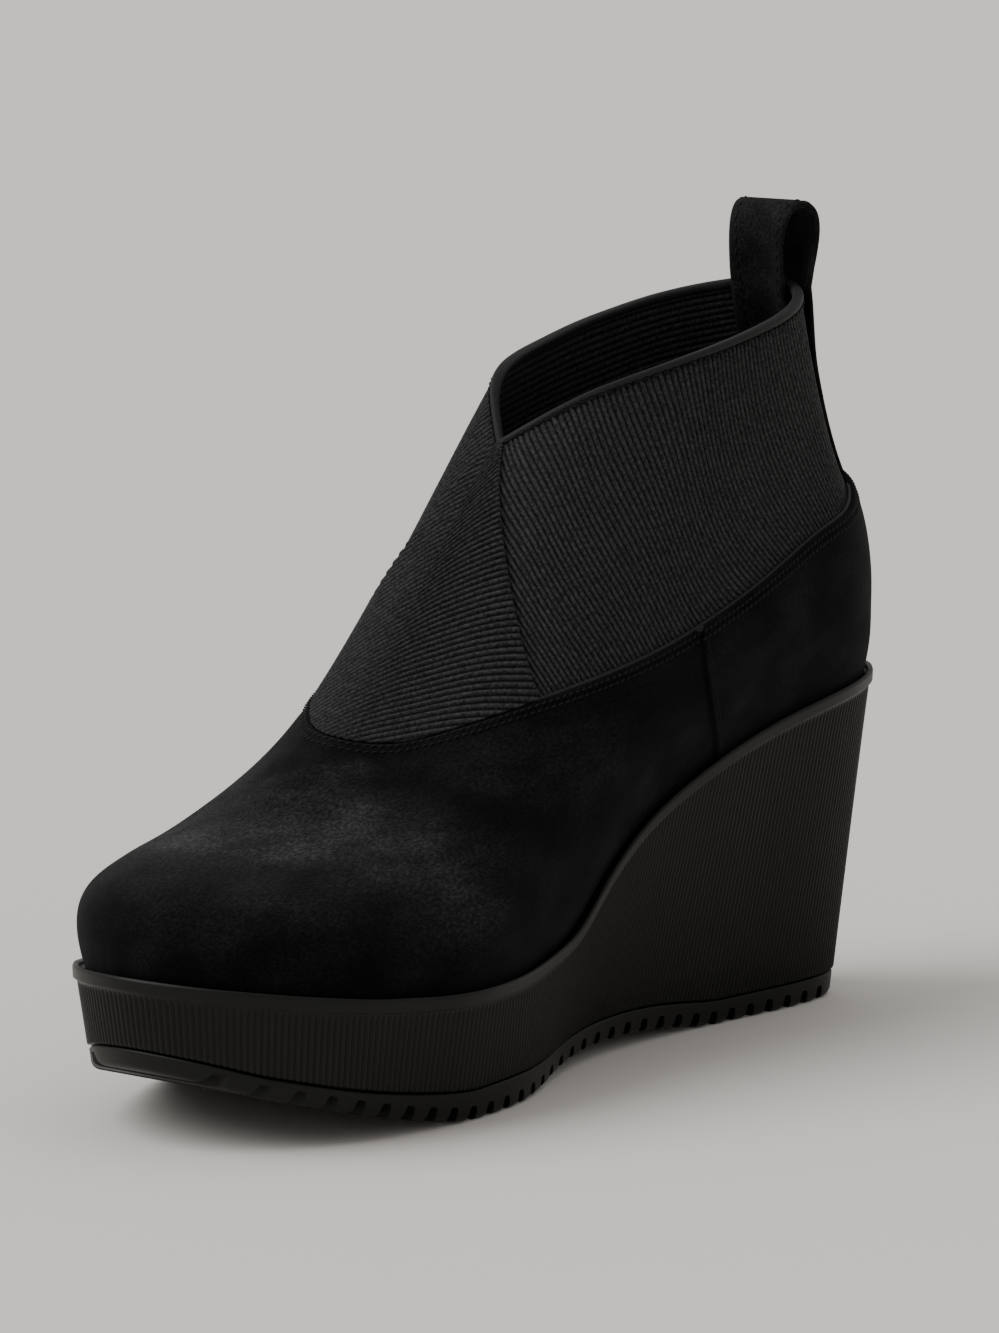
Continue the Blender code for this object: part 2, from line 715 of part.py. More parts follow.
def build_insole(material):
    turns = np.array(bend_turns())
    foot = feather_line(turns)
    away = outward(rim_line, turns)
    shell = Shell()
    rings = []
    for inset, height in ((0.0, 0.0), (0.0, INSOLE_THICKNESS - INSOLE_ROUNDING),
                          (INSOLE_ROUNDING, INSOLE_THICKNESS)):
        points = foot - away * (ELASTIC_WALL + INSOLE_CLEARANCE + inset)
        points[:, 2] += height
        rings.append(shell.ring(points))
    for low, high in zip(rings, rings[1:]):
        shell.band(low, high)
    shell.cover(rings[0])
    shell.cover(rings[-1])
    return shell.build("insole", material)


# Wedge unit

def build_wedge(material, columns=92):
    turns = even_turns(columns, rim_line)
    rim = rim_line(turns)
    away = outward(rim_line, turns)
    shell = Shell()

    def bead(inset, drop):
        points = rim - away * inset
        points[:, 2] -= drop
        return shell.ring(points)

    bed = bead(LIP_WIDTH, RECESS_DEPTH)
    crown = [bed]
    for row in BEAD_SECTION:
        crown.append(bead(row.inset * LIP_WIDTH, row.drop * LIP_HEIGHT))
    for low, high in zip(crown, crown[1:]):
        shell.band(low, high)
    shell.cover(bed)

    perimeter = np.linalg.norm(np.diff(rim, axis=0, append=rim[:1]), axis=1).sum()
    ribs = round(perimeter / (RIB_PITCH * columns))
    points_each = 2 * ribs
    steps = np.arange(columns * points_each) / points_each
    rib_turns = np.interp(steps, np.arange(columns + 1), np.append(turns, 1.0))
    depth = LIP_STEP + RIB_DEPTH * (np.arange(len(steps)) % 2)
    top = shell.ring(sole_side(rib_turns, depth_under_rim=LIP_HEIGHT, inset=depth))
    foot_height = outsole_height(rib_turns) + FIT_GAP + GROOVE_HEIGHT
    foot = shell.ring(sole_side(rib_turns, height_over_tread=foot_height, inset=depth))
    shell.fringe(crown[-1], top)
    shell.band(top, foot)

    groove = LIP_STEP + np.full_like(turns, GROOVE_DEPTH)
    base_height = outsole_height(turns) + FIT_GAP
    ledge = shell.ring(sole_side(turns, height_over_tread=base_height + GROOVE_HEIGHT,
                                 inset=groove))
    base = shell.ring(sole_side(turns, height_over_tread=base_height, inset=groove))
    shell.fringe(ledge, foot)
    shell.band(ledge, base)
    shell.cover(base, inner=1)
    return shell.build("wedge", material)


# Outsole

def lug_cutters():
    """Bars that cut the tread's grooves, each square to the tread under it."""
    first = LUG_TOE_MARGIN
    last = max(row.at for row in FLOOR_OUTLINE) * LENGTH - LUG_HEEL_MARGIN
    count = int((last - first) // LUG_PITCH)
    mesh = bpy.data.meshes.new("tread_grooves")
    work = bmesh.new()
    half_top = LUG_GROOVE_TOP / 2
    half_foot = LUG_GROOVE_WIDTH / 2
    for i in range(count + 1):
        at = (first + i * LUG_PITCH) / LENGTH
        reach = 0.004
        rise = tread_height(at + reach) - tread_height(at - reach)
        slope = math.atan2(float(rise), 2 * reach * LENGTH)
        back = Vector((0.0, math.cos(slope), math.sin(slope)))
        down = Vector((0.0, math.sin(slope), -math.cos(slope)))
        centre = Vector((0.0, float(along(at)), float(tread_height(at))))
        section = [centre + back * half_top - down * LUG_GROOVE_DEPTH,
                   centre - back * half_top - down * LUG_GROOVE_DEPTH,
                   centre - back * half_foot + down * 1.0,
                   centre + back * half_foot + down * 1.0]
        ends = []
        for side in (-1, 1):
            shift = Vector((side * BALL_WIDTH, 0.0, 0.0))
            ends.append([work.verts.new((point + shift) * MM) for point in section])
        work.faces.new(ends[0])
        work.faces.new(ends[1][::-1])
        for k in range(4):
            j = (k + 1) % 4
            work.faces.new((ends[0][j], ends[0][k], ends[1][k], ends[1][j]))
    bmesh.ops.recalc_face_normals(work, faces=work.faces[:])
    work.to_mesh(mesh)
    work.free()
    cutter = bpy.data.objects.new("tread_grooves", mesh)
    bpy.context.scene.collection.objects.link(cutter)
    cutter.hide_render = True
    cutter.display_type = "WIRE"
    return cutter


def build_outsole(material, columns=58):
    turns = even_turns(columns, tread_line)
    shell = Shell()
    rings = []
    inset = LIP_STEP + OUTSOLE_STEP
    for height, extra in ((0.0, TREAD_CHAMFER), (TREAD_CHAMFER, 0.0),
                          (outsole_height(turns), 0.0)):
        rings.append(shell.ring(sole_side(turns, height_over_tread=height,
                                          inset=np.full_like(turns, inset + extra))))
    for low, high in zip(rings, rings[1:]):
        shell.band(low, high)
    shell.cover(rings[0], inner=0)
    shell.cover(rings[-1], inner=0)
    piece = shell.build("outsole", material)
    cut = piece.modifiers.new("tread grooves", "BOOLEAN")
    cut.operation = "DIFFERENCE"
    cut.solver = "EXACT"
    cut.object = lug_cutters()
    return piece


def main():
    for piece in list(bpy.data.objects):
        bpy.data.objects.remove(piece, do_unlink=True)
    suede = finish("black_suede", (0.012, 0.012, 0.013), 0.95)
    elastic = finish("charcoal_elastic", (0.028, 0.028, 0.030), 0.85)
    loop_suede = finish("loop_suede", (0.014, 0.014, 0.015), 0.9)
    binding = finish("collar_tape", (0.035, 0.035, 0.037), 0.7)
    lining = finish("insole_leather", (0.03, 0.03, 0.03), 0.7)
    rubber = finish("unit_rubber", (0.030, 0.031, 0.028), 0.55)
    tread = finish("tread_rubber", (0.027, 0.028, 0.025), 0.6)
    build_upper(suede)
    build_crossing_band(elastic)
    build_binding(binding)
    build_pull_loop(loop_suede)
    build_insole(lining)
    build_wedge(rubber)
    build_outsole(tread)


main()
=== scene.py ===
# Looks of the platform wedge shoe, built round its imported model
#
# The toe points along -Y and +X is the inner side of the foot. Sizes are in millimetres.

import math
from collections import namedtuple

import bmesh
import bpy
import numpy as np
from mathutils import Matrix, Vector


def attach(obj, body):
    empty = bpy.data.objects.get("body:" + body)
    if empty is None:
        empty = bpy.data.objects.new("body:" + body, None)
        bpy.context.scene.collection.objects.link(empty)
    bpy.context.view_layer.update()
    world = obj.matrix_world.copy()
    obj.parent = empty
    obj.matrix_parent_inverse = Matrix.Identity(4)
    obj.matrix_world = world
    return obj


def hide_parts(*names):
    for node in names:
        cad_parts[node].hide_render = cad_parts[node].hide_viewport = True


MM = 0.001

# Sole sizes

LENGTH = 237.5            # toe tip to heel back
BALL_WIDTH = 89.0         # across the rim at the ball
PLATFORM_HEIGHT = 28.4    # floor to rim, under the ball
HEEL_CLIMB = 45.6         # how far the rim rises from the ball to the heel
TOE_RIM_LIFT = 7.1        # how far the rim rises from the ball to the toe
TOE_SPRING = 17.0         # floor to the tread at the toe tip
ARCH_LIFT = 3.0           # floor to the tread under the arch
OUTSOLE_THICKNESS = 5.5
LIP_HEIGHT = 3.4          # rounded bead along the rim
LIP_WIDTH = 1.4
LIP_STEP = 0.45           # how far the bead stands out over the ribs
RECESS_DEPTH = 1.2        # bed for the upper inside the bead
RIB_PITCH = 1.44
RIB_DEPTH = 0.45
GROOVE_HEIGHT = 0.6       # line between the ribs and the outsole
GROOVE_DEPTH = 0.8
OUTSOLE_STEP = 0.3        # how far the outsole lies in from the ribs' foot
TREAD_CHAMFER = 1.4
LUG_PITCH = 6.4
LUG_GROOVE_WIDTH = 3.3    # at the tread
LUG_GROOVE_TOP = 2.1      # at its closed end
LUG_GROOVE_DEPTH = 3.2
LUG_TOE_MARGIN = 9.0      # plain stretch behind the toe tip
LUG_HEEL_MARGIN = 11.0    # plain stretch before the heel back

# Upper sizes

UPPER_RISE = 85.0         # rim to collar at the heel back
COLLAR_WIDTH = 45.0       # across the outside of the collar
INSTEP_WIDTH = 66.0       # across the suede's top edge
ELASTIC_WALL = 1.6
SUEDE_PROUD = 1.2         # step at the suede's top edge
QUARTER_PROUD = 0.5       # step at the quarter's side seam
BAND_THICKNESS = 0.8      # upper of the two crossed bands
BAND_TIP = 0.06           # share of the band's width that its blunt tip keeps
BINDING_HEIGHT = 2.6
BINDING_WIDTH = 2.9
LOOP_WIDTH = 19.5
LOOP_THICKNESS = 1.7
LOOP_RISE = 18.0          # collar to the top of the loop
LOOP_DEPTH = 13.0         # across the loop, front to back
LOOP_INNER_LEG = 35.0     # strip inside the shoe
LOOP_SQUARENESS = 0.6     # 1 is a round arch, less is squarer
INSOLE_THICKNESS = 3.0
FIT_GAP = 0.3             # clearance between pieces that touch
FOOT_CLEARANCE = 0.8      # bead to the foot of the upper, which leans out over it
INSOLE_CLEARANCE = 1.2    # insole's edge to the inside of the upper
BAND_CLEARANCE = 0.4      # crossing band to the curved wall under it
LOOP_CLEARANCE = 0.6      # strip of the loop to the curved wall that carries it

# Tables with named columns

def table(columns, rows):
    """Rows whose values are read by the names of their columns."""
    row = namedtuple("row", columns)
    return [row(*values) for values in rows]


# `turn` runs once round the shoe: 0 at the toe, 0.25 at the inner side, 0.5 at the heel
# back, 0.75 at the outer side. `at` is a share of LENGTH from the toe tip, `out` a share
# of half the width that the table belongs to, towards the inner side.

RIM_OUTLINE = table("turn at out", [
    (0.000, 0.000, 0.106),
    (0.028, 0.017, 0.427),
    (0.060, 0.063, 0.703),
    (0.089, 0.120, 0.865),
    (0.120, 0.187, 0.953),
    (0.160, 0.274, 0.998),
    (0.205, 0.381, 0.854),
    (0.245, 0.467, 0.715),
    (0.280, 0.547, 0.643),
    (0.330, 0.662, 0.613),
    (0.390, 0.808, 0.593),
    (0.430, 0.914, 0.535),
    (0.465, 0.987, 0.303),
    (0.500, 1.000, -0.090),
    (0.535, 0.968, -0.483),
    (0.570, 0.891, -0.674),
    (0.610, 0.794, -0.773),
    (0.670, 0.651, -0.861),
    (0.720, 0.531, -0.912),
    (0.755, 0.448, -0.962),
    (0.795, 0.355, -1.000),
    (0.840, 0.247, -0.980),
    (0.885, 0.156, -0.818),
    (0.932, 0.069, -0.557),
    (0.952, 0.036, -0.393),
    (0.970, 0.015, -0.225),
])

FLOOR_OUTLINE = table("turn at out", [
    (0.000, 0.014, 0.101),
    (0.028, 0.029, 0.391),
    (0.060, 0.071, 0.649),
    (0.089, 0.126, 0.798),
    (0.120, 0.190, 0.870),
    (0.160, 0.274, 0.894),
    (0.205, 0.375, 0.804),
    (0.245, 0.450, 0.629),
    (0.280, 0.527, 0.483),
    (0.330, 0.634, 0.389),
    (0.390, 0.777, 0.371),
    (0.430, 0.869, 0.382),
    (0.465, 0.941, 0.265),
    (0.500, 0.955, -0.090),
    (0.535, 0.934, -0.393),
    (0.570, 0.865, -0.539),
    (0.610, 0.775, -0.584),
    (0.670, 0.630, -0.674),
    (0.720, 0.518, -0.793),
    (0.755, 0.440, -0.888),
    (0.795, 0.355, -0.948),
    (0.840, 0.251, -0.926),
    (0.885, 0.161, -0.755),
    (0.932, 0.077, -0.503),
    (0.952, 0.048, -0.353),
    (0.970, 0.028, -0.200),
])

# Heights along the sole: shares of TOE_RIM_LIFT, HEEL_CLIMB, TOE_SPRING, ARCH_LIFT and
# OUTSOLE_THICKNESS

SOLE_PROFILE = table("at rim_toe rim_heel tread_toe tread_arch outsole", [
    (0.000, 1.000, 0.000, 1.000, 0.0, 0.80),
    (0.018, 0.894, 0.000, 0.900, 0.0, 0.81),
    (0.040, 0.785, 0.000, 0.785, 0.0, 0.82),
    (0.063, 0.669, 0.000, 0.665, 0.0, 0.83),
    (0.090, 0.535, 0.000, 0.560, 0.0, 0.84),
    (0.120, 0.394, 0.000, 0.450, 0.0, 0.86),
    (0.153, 0.246, 0.000, 0.335, 0.0, 0.90),
    (0.187, 0.141, 0.000, 0.225, 0.0, 0.97),
    (0.222, 0.050, 0.000, 0.125, 0.0, 1.05),
    (0.284, 0.000, 0.000, 0.000, 0.0, 1.18),
    (0.363, 0.000, 0.005, 0.000, 0.0, 1.20),
    (0.427, 0.000, 0.040, 0.000, 0.2, 1.12),
    (0.469, 0.000, 0.105, 0.000, 0.6, 1.04),
    (0.512, 0.000, 0.265, 0.000, 0.9, 1.00),
    (0.576, 0.000, 0.490, 0.000, 1.0, 1.00),
    (0.660, 0.000, 0.680, 0.000, 0.7, 1.00),
    (0.745, 0.000, 0.815, 0.000, 0.0, 1.00),
    (0.830, 0.000, 0.905, 0.000, 0.0, 1.00),
    (0.915, 0.000, 0.965, 0.000, 0.0, 1.00),
    (1.000, 0.000, 1.000, 0.000, 0.0, 1.00),
])

# Spots where the tread lies flat on the floor, as shares of LENGTH from the toe tip

BALL_FLAT = (0.289, 0.385)
HEEL_FLAT_START = 0.745

# Lines of the upper. `up` is a share of UPPER_RISE over the straight slope that climbs
# from the platform under the toe tip to the rim at the heel back.

SUEDE_EDGE = table("turn at out up", [
    (0.000, 0.292, 0.000, 0.386),
    (0.050, 0.318, 0.303, 0.361),
    (0.100, 0.358, 0.576, 0.373),
    (0.150, 0.404, 0.773, 0.390),
    (0.200, 0.459, 0.909, 0.400),
    (0.250, 0.529, 0.985, 0.404),
    (0.310, 0.617, 1.018, 0.421),
    (0.370, 0.732, 0.961, 0.459),
    (0.420, 0.830, 0.848, 0.491),
    (0.460, 0.906, 0.652, 0.500),
    (0.500, 0.970, 0.000, 0.531),
    (0.540, 0.906, -0.667, 0.498),
    (0.580, 0.830, -0.864, 0.488),
    (0.630, 0.735, -0.961, 0.457),
    (0.690, 0.625, -1.015, 0.425),
    (0.750, 0.538, -1.006, 0.398),
    (0.800, 0.469, -0.915, 0.392),
    (0.850, 0.408, -0.773, 0.395),
    (0.900, 0.356, -0.576, 0.405),
    (0.950, 0.309, -0.303, 0.394),
])

COLLAR_EDGE = table("turn at out up", [
    (0.000, 0.512, 0.000, 0.941),
    (0.050, 0.529, 0.311, 0.988),
    (0.100, 0.558, 0.600, 1.028),
    (0.160, 0.606, 0.822, 1.046),
    (0.220, 0.668, 0.969, 1.051),
    (0.280, 0.724, 1.000, 1.048),
    (0.340, 0.777, 0.960, 1.045),
    (0.400, 0.833, 0.831, 1.042),
    (0.450, 0.886, 0.533, 1.045),
    (0.500, 0.914, 0.000, 1.053),
    (0.550, 0.886, -0.556, 1.053),
    (0.600, 0.838, -0.862, 1.052),
    (0.660, 0.788, -0.991, 1.051),
    (0.720, 0.735, -1.013, 1.053),
    (0.780, 0.675, -0.947, 1.054),
    (0.840, 0.617, -0.791, 1.060),
    (0.900, 0.564, -0.533, 1.047),
    (0.950, 0.535, -0.267, 0.997),
    (1.000, 0.512, 0.000, 0.941),
])

# How the wall runs between the lines. `lean` tips its foot outward, `grip` is how long it
# holds that direction, and `hold` how long it keeps its direction below the suede's edge,
# both as shares of the chord. `swing` turns it at that edge from the lower chord (0) to
# the upper one (1), and `upright` straightens it at the collar.

WALL_SHAPE = table("turn lean grip hold swing upright", [
    (0.00, 0.26, 0.39, 0.64, 0.50, 0.00),
    (0.08, 0.28, 0.37, 0.57, 0.50, 0.00),
    (0.16, 0.30, 0.34, 0.42, 0.60, 0.00),
    (0.25, 0.35, 0.36, 0.34, 0.80, 0.10),
    (0.35, 0.35, 0.36, 0.34, 1.10, 0.20),
    (0.43, 0.30, 0.36, 0.34, 1.50, 0.40),
    (0.50, 0.14, 0.36, 0.34, 1.80, 0.50),
    (0.57, 0.30, 0.36, 0.34, 1.50, 0.40),
    (0.65, 0.30, 0.36, 0.34, 1.10, 0.20),
    (0.75, 0.30, 0.36, 0.34, 0.80, 0.10),
    (0.84, 0.28, 0.34, 0.42, 0.60, 0.00),
    (0.92, 0.32, 0.40, 0.63, 0.50, 0.00),
])

COLLAR_HOLD = 0.34                 # how long the elastic keeps its direction at each end
SEAM_TURNS = (0.31, 0.69)          # side seams between vamp and quarter
SEAM_REACH = 0.0012                # half of the seam's step
SEAM_DRIFT = 0.034                 # how far each seam runs back on its way to the sole
BAND_TURNS = (0.172, -0.162)       # lower corners of the crossing band
SUEDE_STEP_LEVEL = 0.012           # levels that the step at the suede's edge takes up


# Curves

def knot_bends(knots, values, closed):
    """Second derivatives of the smooth cubic through the values."""
    count = len(knots)
    step = np.diff(knots)
    slope = np.diff(values) / step
    matrix = np.eye(count)
    right = np.zeros(count)
    for i in range(1, count - 1):
        matrix[i, i - 1] = step[i - 1]
        matrix[i, i] = 2 * (step[i - 1] + step[i])
        matrix[i, i + 1] = step[i]
        right[i] = 6 * (slope[i] - slope[i - 1])
    if closed:
        matrix[0, 0] = 2 * (step[-1] + step[0])
        matrix[0, 1] = step[0]
        matrix[0, -2] = step[-1]
        right[0] = 6 * (slope[0] - slope[-1])
        matrix[-1, 0] = -1
    return np.linalg.solve(matrix, right)


SOLVED = {}


def read_table(rows, field, where, closed=False):
    """The named column as a smooth curve over the first column, read at `where`."""
    where = np.asarray(where, float)
    if closed:
        where = np.mod(where, 1.0)
    if (id(rows), field) not in SOLVED:
        knots = np.array([row[0] for row in rows], float)
        values = np.array([getattr(row, field) for row in rows], float)
        if closed:
            knots = np.append(knots, knots[0] + 1)
            values = np.append(values, values[0])
        SOLVED[id(rows), field] = knots, values, knot_bends(knots, values, closed)
    knots, values, bends = SOLVED[id(rows), field]
    i = np.clip(np.searchsorted(knots, where, side="right") - 1, 0, len(knots) - 2)
    step = knots[i + 1] - knots[i]
    b = (where - knots[i]) / step
    a = 1 - b
    return (a * values[i] + b * values[i + 1]
            + ((a**3 - a) * bends[i] + (b**3 - b) * bends[i + 1]) * step**2 / 6)


def unit(vectors):
    return vectors / np.linalg.norm(vectors, axis=-1, keepdims=True)


def stack(x, y, z):
    return np.stack(np.broadcast_arrays(x, y, z), axis=-1).astype(float)


# Sole form

def along(at):
    return (at - 0.5) * LENGTH


def rim_height(at):
    return (PLATFORM_HEIGHT + TOE_RIM_LIFT * read_table(SOLE_PROFILE, "rim_toe", at)
            + HEEL_CLIMB * read_table(SOLE_PROFILE, "rim_heel", at))


def tread_height(at):
    lift = (TOE_SPRING * read_table(SOLE_PROFILE, "tread_toe", at)
            + ARCH_LIFT * read_table(SOLE_PROFILE, "tread_arch", at))
    flat = ((at > BALL_FLAT[0]) & (at < BALL_FLAT[1])) | (at > HEEL_FLAT_START)
    return np.where(flat, 0.0, np.maximum(lift, 0.0))


def outsole_height(turn):
    at = read_table(FLOOR_OUTLINE, "at", turn, closed=True)
    return OUTSOLE_THICKNESS * read_table(SOLE_PROFILE, "outsole", at)


def rim_line(turn):
    at = read_table(RIM_OUTLINE, "at", turn, closed=True)
    out = read_table(RIM_OUTLINE, "out", turn, closed=True)
    return stack(out * BALL_WIDTH / 2, along(at), rim_height(at))


def tread_line(turn):
    at = read_table(FLOOR_OUTLINE, "at", turn, closed=True)
    out = read_table(FLOOR_OUTLINE, "out", turn, closed=True)
    return stack(out * BALL_WIDTH / 2, along(at), tread_height(at))


def outward(line, turn, reach=0.002):
    """Level direction square to a line round the shoe, pointing away from the foot."""
    run = line(turn + reach) - line(turn - reach)
    return unit(stack(run[..., 1], -run[..., 0], 0.0))


def sole_side(turn, height_over_tread=None, depth_under_rim=None, inset=0.0):
    """A point on the slanting side of the sole, `inset` in from its surface."""
    top = rim_line(turn)
    foot = tread_line(turn)
    tall = top[..., 2] - foot[..., 2]
    if height_over_tread is not None:
        share = height_over_tread / tall
    else:
        share = 1 - depth_under_rim / tall
    point = foot + (top - foot) * share[..., None]
    return point - outward(rim_line, turn) * np.asarray(inset)[..., None]


FINE_STEPS = 2401         # points that measure a line round the shoe


def even_turns(count, line):
    """Turns that divide a line round the shoe into equal lengths."""
    fine = np.linspace(0.0, 1.0, FINE_STEPS)
    points = line(fine)
    length = np.append(0.0, np.cumsum(np.linalg.norm(np.diff(points, axis=0), axis=1)))
    return np.interp(np.arange(count) / count * length[-1], length, fine)


# Upper form

def slope_height(at):
    return PLATFORM_HEIGHT + HEEL_CLIMB * at


def feather_line(turn):
    """Foot of the upper's base surface, in the bed behind the bead."""
    inset = LIP_WIDTH + FOOT_CLEARANCE + SUEDE_PROUD + QUARTER_PROUD
    point = rim_line(turn) - outward(rim_line, turn) * inset
    point[..., 2] += FIT_GAP - RECESS_DEPTH
    return point


def upper_line(rows, width, turn, closed):
    at = read_table(rows, "at", turn, closed)
    out = read_table(rows, "out", turn, closed)
    up = read_table(rows, "up", turn, closed)
    return stack(out * width / 2, along(at), slope_height(at) + up * UPPER_RISE)


def suede_edge(turn):
    return upper_line(SUEDE_EDGE, INSTEP_WIDTH, turn, True)


def collar_edge(turn):
    return upper_line(COLLAR_EDGE, COLLAR_WIDTH, np.mod(turn, 1.0), False)


def bezier(a, b, c, d, t):
    t = t[..., None]
    s = 1 - t
    return s**3 * a + 3 * s**2 * t * b + 3 * s * t**2 * c + t**3 * d


def skin(turn, level):
    """Base surface of the upper: level 0 at the sole, 1 at the suede's edge, 2 at the
    collar."""
    turn, level = np.broadcast_arrays(np.asarray(turn, float), np.asarray(level, float))
    foot = feather_line(turn)
    edge = suede_edge(turn)
    collar = collar_edge(turn)
    lean = read_table(WALL_SHAPE, "lean", turn, closed=True)[..., None]
    grip = read_table(WALL_SHAPE, "grip", turn, closed=True)[..., None]
    hold = read_table(WALL_SHAPE, "hold", turn, closed=True)[..., None]
    swing = read_table(WALL_SHAPE, "swing", turn, closed=True)[..., None]
    upright = read_table(WALL_SHAPE, "upright", turn, closed=True)[..., None]
    up = np.array([0.0, 0.0, 1.0])
    low_chord = edge - foot
    top_chord = collar - edge
    low_size = np.linalg.norm(low_chord, axis=-1, keepdims=True)
    top_size = np.linalg.norm(top_chord, axis=-1, keepdims=True)
    foot_way = unit(up + lean * outward(rim_line, turn))
    edge_way = unit(unit(low_chord) * (1 - swing) + unit(top_chord) * swing)
    collar_way = unit(unit(top_chord) + upright * up)
    low = bezier(foot, foot + foot_way * grip * low_size,
                 edge - edge_way * hold * low_size, edge, np.clip(level, 0, 1))
    top = bezier(edge, edge + edge_way * COLLAR_HOLD * top_size,
                 collar - collar_way * COLLAR_HOLD * top_size, collar, np.clip(level - 1, 0, 1))
    return np.where((level < 1)[..., None], low, top)


def skin_way(turn, level, reach=0.004):
    """Direction up the wall at a point of the base surface."""
    lower = np.clip(level - reach, 0, 2)
    return unit(skin(turn, np.clip(level + reach, 0, 2)) - skin(turn, lower))


def skin_out(turn, level, reach=0.004):
    """Outward normal of the base surface."""
    round_way = unit(skin(turn + reach, level) - skin(turn - reach, level))
    return unit(np.cross(round_way, skin_way(turn, level)))


def wall_point(turn, level, offset):
    turn, level, offset = np.broadcast_arrays(turn, level, offset)
    return skin(turn, level) + skin_out(turn, level) * np.asarray(offset)[..., None]


def level_below(edge, turn, drop, reach=0.02):
    """Level that lies `drop` under level `edge` along the wall."""
    run = skin(turn, edge) - skin(turn, edge - reach)
    return edge - drop * reach / np.linalg.norm(run, axis=-1)


HEEL_BACK = (0.40, 0.60)  # turns between which the strip of the loop lies


def heel_turns(level, reach):
    """Turns on both sides of the heel back whose points lie `reach` to each side."""
    fine = np.linspace(*HEEL_BACK, 201)
    across = skin(fine, level)[:, 0]
    return np.interp(-np.asarray(reach), -across, fine)


# Mesh tools

def grid_faces(rows, columns, wrap_rows=False, wrap_columns=False, first=0):
    """Quads of a grid of points that is stored row by row."""
    r, c = np.meshgrid(np.arange(rows if wrap_rows else rows - 1),
                       np.arange(columns if wrap_columns else columns - 1), indexing="ij")
    after_r = (r + 1) % rows
    after_c = (c + 1) % columns
    quads = np.stack([r * columns + c, r * columns + after_c,
                      after_r * columns + after_c, after_r * columns + c], axis=-1)
    return (quads.reshape(-1, 4) + first).tolist()


def piece_from(name, points, faces, finish, slot, stands_for=(), fields=None):
    """A smooth mesh in metres that rides on the shoe's body."""
    mesh = bpy.data.meshes.new(name)
    mesh.from_pydata((np.asarray(points, float).reshape(-1, 3) * MM).tolist(), [], faces)
    work = bmesh.new()
    work.from_mesh(mesh)
    bmesh.ops.recalc_face_normals(work, faces=work.faces[:])
    work.to_mesh(mesh)
    work.free()
    for field, values in (fields or {}).items():
        layer = mesh.attributes.new(field, "FLOAT", "POINT")
        layer.data.foreach_set("value", np.asarray(values, np.float32).ravel())
    mesh.shade_smooth()
    mesh.materials.append(finish)
    piece = bpy.data.objects.new(name, mesh)
    bpy.context.scene.collection.objects.link(piece)
    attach(piece, "root")
    if stands_for:
        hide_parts(*stands_for)
    return piece


def ring_solid(name, rings, finish, slot, **more):
    """A closed band round the shoe from rings that follow its section once round."""
    grid = np.array(rings)
    faces = grid_faces(*grid.shape[:2], wrap_rows=True, wrap_columns=True)
    return piece_from(name, grid, faces, finish, slot, **more)


def cap_faces(first, count):
    """Strips across a ring of `count` points, the first of which is point `first`."""
    faces = []
    for i in range(count // 2):
        corners = list(dict.fromkeys((first + i, first + i + 1,
                                      first + (count - i - 1) % count,
                                      first + (count - i) % count)))
        if len(corners) > 2:
            faces.append(tuple(corners))
    return faces


def slab(name, over, under, finish, slot, stands_for=(), fields=None):
    """A closed sheet between two open grids of the same size."""
    rows, columns = over.shape[:2]
    count = rows * columns
    faces = grid_faces(rows, columns) + grid_faces(rows, columns, first=count)
    index = np.arange(count).reshape(rows, columns)
    for edge in (index[0], index[-1], index[:, 0], index[:, -1]):
        for a, b in zip(edge, edge[1:]):
            faces.append((int(a), int(b), int(b) + count, int(a) + count))
    doubled = {field: np.concatenate([np.ravel(values)] * 2)
               for field, values in (fields or {}).items()}
    return piece_from(name, np.concatenate([over.reshape(-1, 3), under.reshape(-1, 3)]),
                      faces, finish, slot, stands_for, doubled)


def cord_along(name, path, out, radius, finish, slot, sides=10):
    """A round cord along open points, closed at both ends."""
    path = np.asarray(path, float)
    way = unit(np.gradient(path, axis=0))
    side = unit(np.cross(way, out))
    out = unit(np.cross(side, way))
    share = np.linspace(0.0, 1.0, len(path))
    taper = np.clip(np.minimum(share, 1 - share) * len(path) / 3 + 0.35, 0, 1)
    angle = 2 * math.pi * np.arange(sides) / sides
    size = (radius * taper)[:, None, None]
    rings = (path[:, None, :] + size * (np.cos(angle)[None, :, None] * out[:, None, :]
                                        + np.sin(angle)[None, :, None] * side[:, None, :]))
    faces = grid_faces(len(path), sides, wrap_columns=True)
    faces.append(tuple(range(sides)))
    faces.append(tuple(range((len(path) - 1) * sides, len(path) * sides)))
    return piece_from(name, rings, faces, finish, slot)


# Places along a stitch from -1 to 1, and the share of its radius there

STITCH_SECTION = [(-1.0, 0.35), (-0.72, 0.85), (0.0, 1.0), (0.72, 0.85), (1.0, 0.35)]


def stitches(name, centre, way, out, length, radius, finish, slot, sides=6):
    """Short raised stitches, each along `way` and sunk at both of its ends."""
    way = unit(way)
    out = unit(out - way * np.sum(way * out, axis=-1, keepdims=True))
    side = np.cross(way, out)
    angle = 2 * math.pi * np.arange(sides) / sides
    points = []
    for along_share, size in STITCH_SECTION:
        middle = centre + way * along_share * length / 2 - out * radius * along_share**2
        for a in angle:
            points.append(middle + radius * size * (math.cos(a) * out + math.sin(a) * side))
    cloud = np.stack(points, axis=1)
    one = grid_faces(len(STITCH_SECTION), sides, wrap_columns=True)
    one.append(list(range(sides)))
    one.append([corner + (len(STITCH_SECTION) - 1) * sides for corner in range(sides)])
    faces = [[corner + k * cloud.shape[1] for corner in face]
             for k in range(len(cloud)) for face in one]
    return piece_from(name, cloud, faces, finish, slot)


